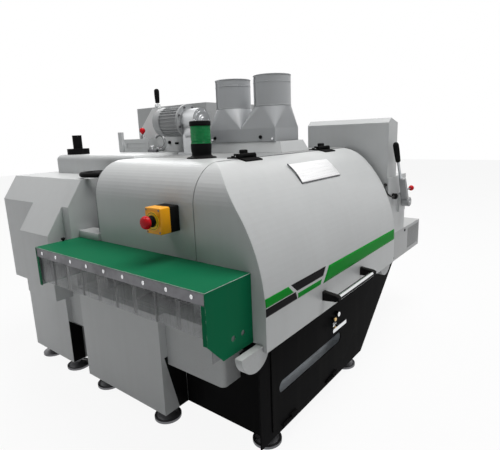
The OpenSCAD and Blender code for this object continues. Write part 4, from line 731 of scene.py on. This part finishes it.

# %% [markdown]
# ## Clear strips
#
# Each strip hangs from the hem, its free edges curl, and it bows on the way down, so the slits look
# like drawn arcs. A strip is a sheet over two numbers, across and down, and the curl is the square
# of the first times a hump of the second. A UV map keeps the two, so the vinyl can paint a dark line
# of shade on the cut edges, where a clear edge bends the light. The hem is round on top, where it
# turns in the bar.

# %% Strips of the infeed curtain
strip_count = 9
overlap, bow, curl = 9, 7, 5
hang = 3
low, high = span("strip_curtain")
pitch = (high[1] - low[1]) / strip_count
u, v = np.meshgrid(np.linspace(-1, 1, 21), np.linspace(0, 1, 25))
hump = np.sin(np.pi * v * 0.9)
z = high[2] - hang - (high[2] - hang - low[2]) * v + 0 * u
strips = []
for i in range(strip_count):
    y = low[1] + pitch * (i + 0.5) + (pitch / 2 + overlap * 0.5) * u + bow * hump * (0.6 + 0.4 * u)
    x = low[0] + 1.2 + 2.2 * (i % 2) + curl * u ** 2 * hump * (0.7 + 0.3 * np.sin(2.1 * i))
    strips.append(np.stack([x, np.clip(y, low[1], high[1]), z], -1))
curtain = piece("clear_strips", strips, "clear_plastic", "strip_curtain", ring=False, wall=1.6)
across = np.tile(np.stack([(u + 1) / 2, 1 - v], -1).reshape(-1, 2), (strip_count, 1))
layer = curtain.data.uv_layers.new(name="strip")
corner = np.zeros(len(curtain.data.loops), np.int32)
curtain.data.loops.foreach_get("vertex_index", corner)
layer.data.foreach_set("uv", across[corner].astype(np.float32).ravel())
hem_r = 2.2
hem_top = high[2] - hem_r
hem_line = straight((low[0] + hem_r, low[1], hem_top), (low[0] + hem_r, high[1], hem_top))
piece("strip_hem", [block((low[0], low[1], hem_top - 6), (low[0] + 2 * hem_r, high[1], hem_top), 1, 0.4, 0.2),
                    tube(hem_line, hem_r)], "zinc_steel", "strip_curtain")
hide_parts("strip_curtain")
print(strip_count, "strips", round(pitch), "mm wide")

# %% [markdown]
# ## Emergency stop
#
# A yellow box with four sunk screws stands on a black one. A raised ring lies round the neck of the
# red button, which is a mushroom: a stem, a collar, and a head with a rolled rim.

# %% Stop box and button
low, high = span("stop_body")
face = (high[0] - 44, (low[1] + high[1]) / 2, (low[2] + high[2]) / 2)
body = piece("stop_cover", [block((face[0], low[1], low[2]), high, 0, 5, 2.4)], "yellow_plastic")
profile = [(0, 0), (31, 0), (32.5, -1), (32.5, -2.4), (30.5, -3), (20, -3), (0, -3)]
piece("stop_ring", [lathe(profile, face, 0, 48)], "pale_yellow")
profile = [(29.5, -3), (29.5, -3.4), (28.3, -3.4), (28.3, -3), (29.5, -3)]
piece("stop_ring_line", [lathe(profile, face, 0, 48)])
profile = [(0, -3), (20, -3), (20, -8), (17.5, -10), (17.5, -15), (19, -17), (19, -22), (17, -23), (10, -23),
           (0, -23)]
piece("stop_neck", [lathe(profile, face, 0, 40)])
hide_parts("stop_body")
piece("stop_screws", [bolt((face[0], face[1] + a * 32, face[2] + b * 38), 0, -1, 3.6, 0.9)
                      for a in (-1, 1) for b in (-1, 1)], "dark_steel")
low, high = span("stop_base")
inset = np.array([0, 1.2, 1.2])
seam = block(low + inset - (1, 0, 0), (low[0] + 3, high[1] - 1.2, high[2] - 1.2), 0, 4, 0.6)
case = piece("stop_case", [block(low + (2, 0, 0), high, 0, 5, 1.5), seam])
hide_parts("stop_base")
low, high = span("stop_button")
rim = [(0, 5.5), (9, 5.7), (15, 7), (19.5, 10.5), (22, 15.5), (23, 20.5), (22.6, 24.5), (20.5, 27), (16, 28),
       (11.5, 29), (11, 33), (8, 34)]
profile = [(r, low[0] + h) for r, h in rim] + [(8, high[0]), (0, high[0])]
cap = piece("mushroom", [lathe(profile, (0, *face[1:]), 0, 48)], "red_plastic", "stop_button")
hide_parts("stop_button")
print("stop box", round(high[2] - low[2]), "mm button")

# %% [markdown]
# ## Signal lamp
#
# The lens is a green barrel with rings moulded into it, on a black foot that flares at the deck. A
# fine wave in one lathe profile makes the rings.

# %% Lamp
low, high = span("lamp_lens")
base_low, base_high = span("lamp_base")
c = ((low[0] + high[0]) / 2, (low[1] + high[1]) / 2, 0)
ring_pitch, ring_depth = 5.5, 0.75
z = np.linspace(low[2], high[2], 69)
rings_r = 40.2 + ring_depth * np.cos((z - low[2]) * 2 * np.pi / ring_pitch)
rings_r[np.abs(z - low[2] - 8) < 1.6] = 38.2
profile = [(0, low[2])] + list(zip(rings_r, z)) + [(0, high[2])]
lens = piece("ribbed_lens", [lathe(profile, c, 2, 48)], "green_lens", sharp=70)
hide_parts("lamp_lens")
flare = [(0, 0), (61, 0), (61, 3), (58, 5), (47, 7), (40, 12), (39, 22), (41, 26), (42, 44)]
flare = [(r, base_low[2] + h) for r, h in flare] + [(42, low[2] - 2), (39, low[2]), (0, low[2])]
lid = [(r, high[2] + h) for r, h in ((0, 0), (42.5, 0), (43, 2), (43, 14), (41.5, 18))]
lid += [(37, base_high[2]), (0, base_high[2])]
lamp_foot = piece("lamp_housing", [lathe(profile, c, 2, 48) for profile in (flare, lid)])
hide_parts("lamp_base")
print("lens of", len(z), "rings of points")

# %% [markdown]
# ## Pieces on the deck and by the guard
#
# The lift motor is bolted to its gearbox through a round flange. Beside it the stand carries a
# round sight and two black fittings, and a bar with a thumb screw lies in front. By the guard, a
# box closes the corner, a knob clamps the far end, two clips hold the table's edge, and light
# screws hold the dark bar. All are lathes, blocks and short tubes, because only their outlines
# show.

# %% Bolts, sight, bars, knob and clips
motor_low, motor_high = span("lift_motor")
cover_y = span("lift_gearbox")[0][1]
motor_x, motor_z = (motor_low[0] + motor_high[0]) / 2, 1193


def bolts_round(count, first, r, y, head_r, high):
    """Screw heads on a circle about the motor's axis."""
    angles = first + np.arange(count) * 2 * np.pi / count
    return [bolt((motor_x + r * np.cos(a), y, motor_z + r * np.sin(a)), 1, -1, head_r, high) for a in angles]


piece("flange_bolts", bolts_round(8, np.pi / 8, 70, motor_low[1], 5.5, 6), "dark_steel")
piece("gearbox_bolts", bolts_round(6, 0, 50, cover_y + 6, 4.5, 5), "bright_steel")
piece("gearbox_cover", [lathe([(0, -12), (13, -12), (15, -10), (16, -4), (24, -3), (26, 0), (0, 0)],
                              (motor_x, cover_y + 0.2, motor_z), 1, 36)], "cast_aluminium")
piece("gearbox_ribs", [block((motor_x + s, -40, 1050), (motor_x + s + 5, 50, 1140)) for s in (-44, 39)],
      "cast_aluminium")
piece("motor_cowl", [lathe([(69, -50), (71.5, -48), (71.5, -8), (68, -1), (60, 0), (0, 0)],
                           (motor_x, motor_high[1], motor_z), 1, 48)], "motor_aluminium")
piece("cowl_grille", [lathe([(r - 2.5, 0), (r - 2.5, 1.6), (r + 2.5, 1.6), (r + 2.5, 0), (r - 2.5, 0)],
                            (motor_x, motor_high[1] + 0.2, motor_z), 1, 40) for r in (18, 30, 42, 54)])
sight = (-159, 357, 1094)
profile = [(34, -0.2), (36, -2.5), (41, -4), (45, -3), (47, -0.2), (34, -0.2)]
piece("sight_ring", [lathe(profile, sight, 0, 56)], "bright_steel")
piece("sight_groove", [lathe([(31.5, 0), (31.5, -0.9), (34.2, -0.9), (34.2, 0), (31.5, 0)], sight, 0, 56)])
piece("stand_fittings", [lathe([(0, 0), (9, 0), (9, -6), (7, -9), (0, -9)], (-153, 282, 1090), 0, 24),
                         block((-158, 212, 1080), (-153, 240, 1090), 0, 4, 1)])
bar_top = 1058
piece("deck_bar", [block((-272, 262, 1045), (-252, 330, bar_top), 2, 3, 1.5)], "dark_steel")
thumb_screw = [(0, 0), (4, 0), (4, 12), (9, 13), (9, 18), (7, 20), (0, 20)]
piece("deck_bar_screw", [lathe(thumb_screw, (-262, 300, bar_top), 2, 20),
                         tube(straight((-262, 286, bar_top + 17), (-262, 314, bar_top + 17), 3), 3, 10)],
      "bright_steel")
piece("corner_box", [block((-775, 77, 700), (-700, 223.5, 731), 2, 3, 2)], "grey_paint")
profile = [(0, 0), (4, 0), (4, 5), (8, 6), (9, 9), (8, 13), (5, 15), (0, 15)]
piece("guard_knob", [lathe(profile, (-854, 218, 700), 2, 24)])
clips = [(-790, 205, 440), (-790, -268, 440)]
piece("table_clips", [tube(straight((x, y, z), (x - 14, y, z), 3), 4, 12) for x, y, z in clips]
      + [lathe([(0, 0), (7, 0), (7, -3), (0, -3)], (x - 14, y, z), 0, 18) for x, y, z in clips], "dark_steel")
piece("bar_screws", [bolt((-971.2, y, 679), 0, -1, 6.2, 1.6) for y in np.linspace(-678, 173, strip_count)],
      "bright_steel")
print("screws along the bar:", strip_count)

# %% [markdown]
# ## Levers
#
# Three short levers stand on a drum that turns on a pin, one with a black grip and two with a red
# ball. A tube with a radius for each point of its path gives them all: a ball's radius rises and
# falls as a half circle. The gear lever is a rod in a cast arm on a round hub, laid out along an
# axis that leans 27 degrees.

# %% Grips, balls and rods
half_turn = np.linspace(0, np.pi, 17)
slanted = (0.1, 0.9, 0.2)
up_z, along_x, along_y = np.eye(3)[[2, 0, 1]]


def rod(start, end, radius, ends=1):
    """A straight rod with chamfered ends: over each end the radius grows by ends."""
    start, end = np.array(start, float), np.array(end, float)
    ahead = (end - start) / np.linalg.norm(end - start)
    path = [start, start + ahead * ends, end - ahead * ends, end]
    return tube(path, [radius - ends, radius, radius, radius - ends], 20, slanted)


def ball(centre, ahead, radius, neck):
    """A ball with a short neck; its radius is the half circle's sine."""
    along = -np.cos(half_turn) * radius
    reach = np.maximum(np.sin(half_turn) * radius, 0.05)
    along = np.concatenate([[-radius - neck, -radius * 0.93], along[3:]])
    reach = np.concatenate([[radius * 0.42, radius * 0.42], reach[3:]])
    return tube(centre + along[:, None] * ahead, reach, 28, slanted)


def grip(start, end, r):
    """A hand grip: it swells towards its end, which is a dome."""
    t = np.concatenate([[0, 0.015, 0.06, 0.3, 0.6], 0.82 + 0.18 * np.sin(half_turn[:9])])
    swell = np.concatenate([[0.72, 0.8, 0.84, 0.93, 1], np.maximum(np.cos(half_turn[:9]) ** 0.8, 0.02)])
    return tube(start + t[:, None] * (end - start), swell * r, 28, slanted)


def pivoted(pivot, rod_end, rod_r, drum_half, drum_r, pin_half):
    """A rod from the pivot, the drum under it, and the pin that it turns on."""
    drum, pin = [rod(pivot - half * along_y, pivot + half * along_y, r, ends)
                 for half, r, ends in ((drum_half, drum_r, 1), (pin_half, 3, 0.5))]
    return [rod(pivot, pivot + rod_end, rod_r), drum, pin]


lock_pivot = np.array([-131.0, 385, 1291])
lock_grip = piece("lock_grip", [grip(lock_pivot + 14 * up_z, lock_pivot + 90 * up_z, 14)], body="lock_lever")
piece("lock_rod", pivoted(lock_pivot, 18 * up_z, 5, 8.4, 8, 14), "bright_steel", "lock_lever")
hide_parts("lock_lever")

latch_pivot = np.array([-210.0, 437, 1128])
latch_ball = piece("latch_ball", [ball(latch_pivot + 31 * up_z, up_z, 15.5, 3)], "red_plastic", "latch_lever")
piece("latch_rod", pivoted(latch_pivot, 16 * up_z, 4, 6.4, 6, 12), "dark_steel", "latch_lever")
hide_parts("latch_lever")

shift_pivot = np.array([690.0, -716, 769])
shift_ball = piece("shift_ball", [ball(shift_pivot + 140 * along_x, along_x, 16, 3)], "red_plastic",
                   "shift_lever")
piece("shift_rod", pivoted(shift_pivot, 124 * along_x, 4.5, 7.4, 7, 13), "dark_steel", "shift_lever")
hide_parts("shift_lever")

gear_pivot = np.array([599.0, -750, 725])
lean = np.radians(-27)
lever_ahead = np.array([np.sin(lean), 0, np.cos(lean)])
lever_side = np.array([np.cos(lean), 0, -np.sin(lean)])
lever_l, arm_l, gear_grip_l = 366, 150, 100


def on_lever(distance, across=0):
    """A point along the lever from its pivot."""
    return gear_pivot + lever_side * across + lever_ahead * distance


half_arm = [(-13, 0), (-13, arm_l * 0.7), (-11, arm_l - 8), (-7, arm_l)]
arm = half_arm + [(-a, b) for a, b in half_arm[::-1]] + [(9, -10), (0, -13), (-9, -10)]
gear_arm = piece("gear_arm", [slab([on_lever(b, a)[[0, 2]] for a, b in arm], -775, -743.2, 1, 2.5)],
                 "motor_aluminium", "gear_lever")
hub = [(0, 7.3), (24.5, 7.3), (26, 5.8), (26, -31), (23.5, -34), (14, -35), (12, -33.5), (0, -33.5)]
piece("gear_hub", [lathe(hub, gear_pivot, 1, 44)], "motor_aluminium", "gear_lever")
pin = rod(gear_pivot - (0, 4, 0), gear_pivot + (0, 26, 0), 6)
piece("gear_hub_screw", [bolt(gear_pivot - (0, 33.4, 0), 1, -1, 7, 1.6), pin], "bright_steel", "gear_lever")
piece("gear_rod", [rod(on_lever(arm_l - 6), on_lever(lever_l - gear_grip_l - 6), 7),
                   rod(on_lever(arm_l - 2), on_lever(arm_l + 9), 9.5)], "zinc_steel", "gear_lever")
piece("gear_grip", [grip(on_lever(lever_l - gear_grip_l - 12), on_lever(lever_l), 15)], body="gear_lever")
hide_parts("gear_lever")
print("gear lever", lever_l, "mm long")

# %% [markdown]
# ## Ducts
#
# The two ducts are rolled sheet. Their mouths are turned over a wire into a bead, which is a tube
# round a circle. A lap seam runs up each, a second bead stiffens the foot, and two dark bolts hold
# the box below.

# %% Beads, seams and bolts of the ducts
duct_x, duct_ys, duct_r = 10, (-291, -46), 90
mouth_z, root_z = span("dust_outlet")[1][2], 1247
seam_at = np.radians(150)


def hoop(centre, radius, thick, sides=10, turns=56):
    """A ring of round wire: a point goes round the circle and round the wire."""
    u, v = np.meshgrid(np.linspace(0, 2 * np.pi, turns + 1), circle(sides), indexing="ij")
    reach = radius + thick * np.cos(v)
    return centre + np.stack([reach * np.cos(u), reach * np.sin(u), thick * np.sin(v)], -1)


beads = ((mouth_z - 2.4, 2.4), (root_z + 3, 1.8), (mouth_z - 34, 1.5))
piece("duct_beads", [hoop((duct_x, y, z), duct_r, thick) for y in duct_ys for z, thick in beads],
      "duct_paint")
seam_x, seam_y = duct_x + duct_r * np.cos(seam_at), duct_r * np.sin(seam_at)
piece("duct_seams", [block((seam_x - 5, y + seam_y - 2, root_z + 3),
                           (seam_x + 5, y + seam_y + 2, mouth_z - 5), 2, 1.8, 0.6) for y in duct_ys],
      "duct_paint")
piece("outlet_bolts", [bolt((-92.2, y, 1103.5), 0, -1, 8.5, 7) for y in (2, -289)])
print("mouth of the ducts at", round(mouth_z), "mm")

# %% [markdown]
# ## Hinges, door and plate
#
# Two nuts and a star knob, which is a knurl with five waves, hold each hinge of the hood. On the
# door, a bright lock barrel and a brass knob sit above the T-handle. The blank plate stands on the
# hood's arc, and a dark strip on the same arc along its left and lower edges is its painted
# shadow. A plug closes a hole in the outfeed box.

# %% Knobs, lock, painted shadow of the plate, and plug
bracket_low, bracket_high = span("hinge_brackets")
hinge_half = 52
hinge_xs = (bracket_low[0] + hinge_half, bracket_high[0] - hinge_half)


def star(centre, r, high):
    """A star knob: a lathe whose radius waves as often as it has lobes."""
    knob = lathe([(0, high), (r * 0.7, high), (r * 0.96, high - 2), (r, high - 4), (r, 6), (r * 0.8, 4),
                  (7, 3.5), (7, 0), (0, 0)], centre, 2, 60)
    return knurl(knob, centre, 5, 0.13, 2)


piece("hinge_stars", [star((x + 4, bracket_low[1] + 26, bracket_high[2] - 6), 15, 19) for x in hinge_xs])
piece("hinge_nuts", [bolt((x + s * 38, bracket_low[1] + 32, bracket_high[2] - 9), 2, 1, 6.5, 8)
                     for x in hinge_xs for s in (-1, 1)])
piece("lock_barrel", [lathe([(0, 0), (10.6, 0), (10.6, -1.6), (9, -2.6), (5, -2.6), (4.6, -1.8), (0, -1.8)],
                            (-208, -757.8, 360), 1, 36)], "chrome", "front_door")
profile = [(0, 0), (5, 0), (5, -3), (8, -5), (9, -8), (7, -11), (0, -12)]
piece("door_knob", [lathe(profile, (-243, -751.8, 350), 1, 32)], "brass", "front_door")

plate_low, plate_high = span("name_plate")
arc_y, arc_z, arc_r, plate_t = -466, 816, 220, 3.6
plate_shadow_w = 2.6
first_at, last_at = [np.arctan2(y - arc_y, np.sqrt(arc_r ** 2 - (y - arc_y) ** 2))
                     for y in (plate_low[1], plate_high[1])]


def arc_strip(angles):
    """Outline (y, z) of a strip along the hood's arc, at angles from upright."""
    turned = np.stack([np.sin(angles), np.cos(angles)], -1)
    return np.concatenate([turned * (arc_r - 0.5), turned[::-1] * (arc_r + plate_t)]) + (arc_y, arc_z)


# The dark strip along the plate's left and lower edges is its painted shadow.
side = arc_strip(np.linspace(first_at, last_at, 12))
lower = arc_strip(np.array([first_at - plate_shadow_w / arc_r, first_at]))
piece("plate_shadow_strip", [slab(side, plate_low[0] - plate_shadow_w, plate_low[0], 0, 0.3),
                     slab(lower, plate_low[0] - plate_shadow_w, plate_high[0], 0, 0.3)], "dark_steel", "hood")
plug_c = (698, span("outfeed_box")[0][1], 539)
piece("box_plug", [lathe([(0, 0), (8, 0), (8, -2), (6.5, -3.2), (0, -3.2)], plug_c, 1, 32)])
print("edge of the plate", round(plate_high[0] - plate_low[0]), "mm wide")

# %% [markdown]
# ## Guard's edge highlight, linings and panel screws
#
# A light line along the guard's folded edge is a painted highlight, where the edge catches the
# light. A dark grey sheet lines the guard and shows through its holes and behind the strips: the
# inside is unpainted, and its darkness is partly painted shade. The sides of the two legs are black
# sheets of painted shade. Screws and louvres sit on the back, where the photograph doesn't reach,
# and black strips in the louvres' gaps are painted shade. Thin blocks give them all.

# %% Edge highlight, linings, leg shade and louvres
(guard_x, guard_y, _), (_, far_y, guard_z) = span("infeed_guard")
low_z, high_z = guard_z - 1.2, guard_z + 0.4
# A pale strip along the guard's top edges: painted highlight.
piece("guard_highlight_line", [block((guard_x - 0.5, guard_y, low_z), (guard_x + 0.9, far_y, high_z), 1, 0.6, 0.3),
                     block((guard_x, guard_y - 0.5, low_z), (-764.5, guard_y + 0.9, high_z), 0, 0.6, 0.3)],
      "painted_edge_highlight")
lining_t, cheek_t, end_x, top_z = 0.7, 3, -767, guard_z - 5
near_y, inner_y = guard_y + cheek_t, far_y - cheek_t
# The lining is the guard's unpainted inside, in a dark grey that is partly painted shade.
piece("shaded_guard_lining", [block((guard_x + 20, near_y, 476), (end_x, near_y + lining_t, top_z), 0, 0.5, 0.3),
                       block((guard_x + 8, inner_y - lining_t, 540), (end_x, inner_y, top_z), 0, 0.5, 0.3)],
      "dark_grey_paint")
# Black sheets on the sides of the two legs are painted shade.
shade_sheet_t = 0.6
leg_side_shade = ((span("infeed_leg")[0][1], [(-806, 300), (-702, 300), (-702, 62), (-749, 62)]),
             (353, [(-810, 278), (-748, 226), (-748, 62), (-810, 62)]))
piece("leg_side_shade", [slab(outline, y - shade_sheet_t, y, 1, 0.3) for y, outline in leg_side_shade], "black_paint")
back_y = span("drive_cover")[1][1]
piece("back_screws", [bolt((x, back_y, z), 1, 1, 6, 1.6) for x in (-650, -330, 40) for z in (470, 900)],
      "bright_steel")
louvre_zs = 560 + 24 * np.arange(9)
piece("louvres", [block((-560, back_y - 0.5, z), (-260, back_y + 2.2, z + 9), 0, 1.2, 0.8)
                  for z in louvre_zs], "grey_paint")
# Black strips in the gaps under the louvres are painted shade, for the dark openings.
piece("louvre_gap_shade", [block((-556, back_y - 0.3, z - 6), (-264, back_y + 0.3, z), 0, 0.2, 0.1)
                       for z in louvre_zs])
print(len(louvre_zs), "louvres on the back")

# %% [markdown]
# ## Cabinet
#
# The door closes on two quarter-turn locks, and a foam seal shows as a dark line round it. Lathes
# and four thin blocks are enough, because only their outlines show.

# %% Cabinet locks and seal
door_low, door_high = span("cabinet_door")
lock_x, lock_y, lock_zs = 771.5, door_low[1] + 28, (330, 1030)
profile = [(0, 0), (14, 0), (14, 2), (12, 3), (6, 3), (5.5, 2), (0, 2)]
piece("cabinet_locks", [lathe(profile, (lock_x, lock_y, z), 0, 32) for z in lock_zs], body="cabinet_door")
piece("cabinet_keys", [block((lock_x + 2.1, lock_y - 1.4, z - 4.5), (lock_x + 3.1, lock_y + 1.4, z + 4.5),
                             0, 1, 0.3) for z in lock_zs], "bright_steel", "cabinet_door")
cab_low, cab_high = span("electrical_cabinet")
near_y, far_y, seal_w = cab_low[1] + 3, cab_high[1] - 14, 4
back_x, front_x = door_low[0] - 1, door_low[0] + 0.4
seals = [block((back_x, near_y, z), (front_x, far_y, z + seal_w), 1, 0.5, 0.3) for z in (66, 1296)]
seals += [block((back_x, y, 66), (front_x, y + seal_w, 1300), 2, 0.5, 0.3) for y in (near_y, far_y - seal_w)]
piece("cabinet_seal", seals, "black_rubber")
print("cabinet door", round(door_high[2] - door_low[2]), "mm high")
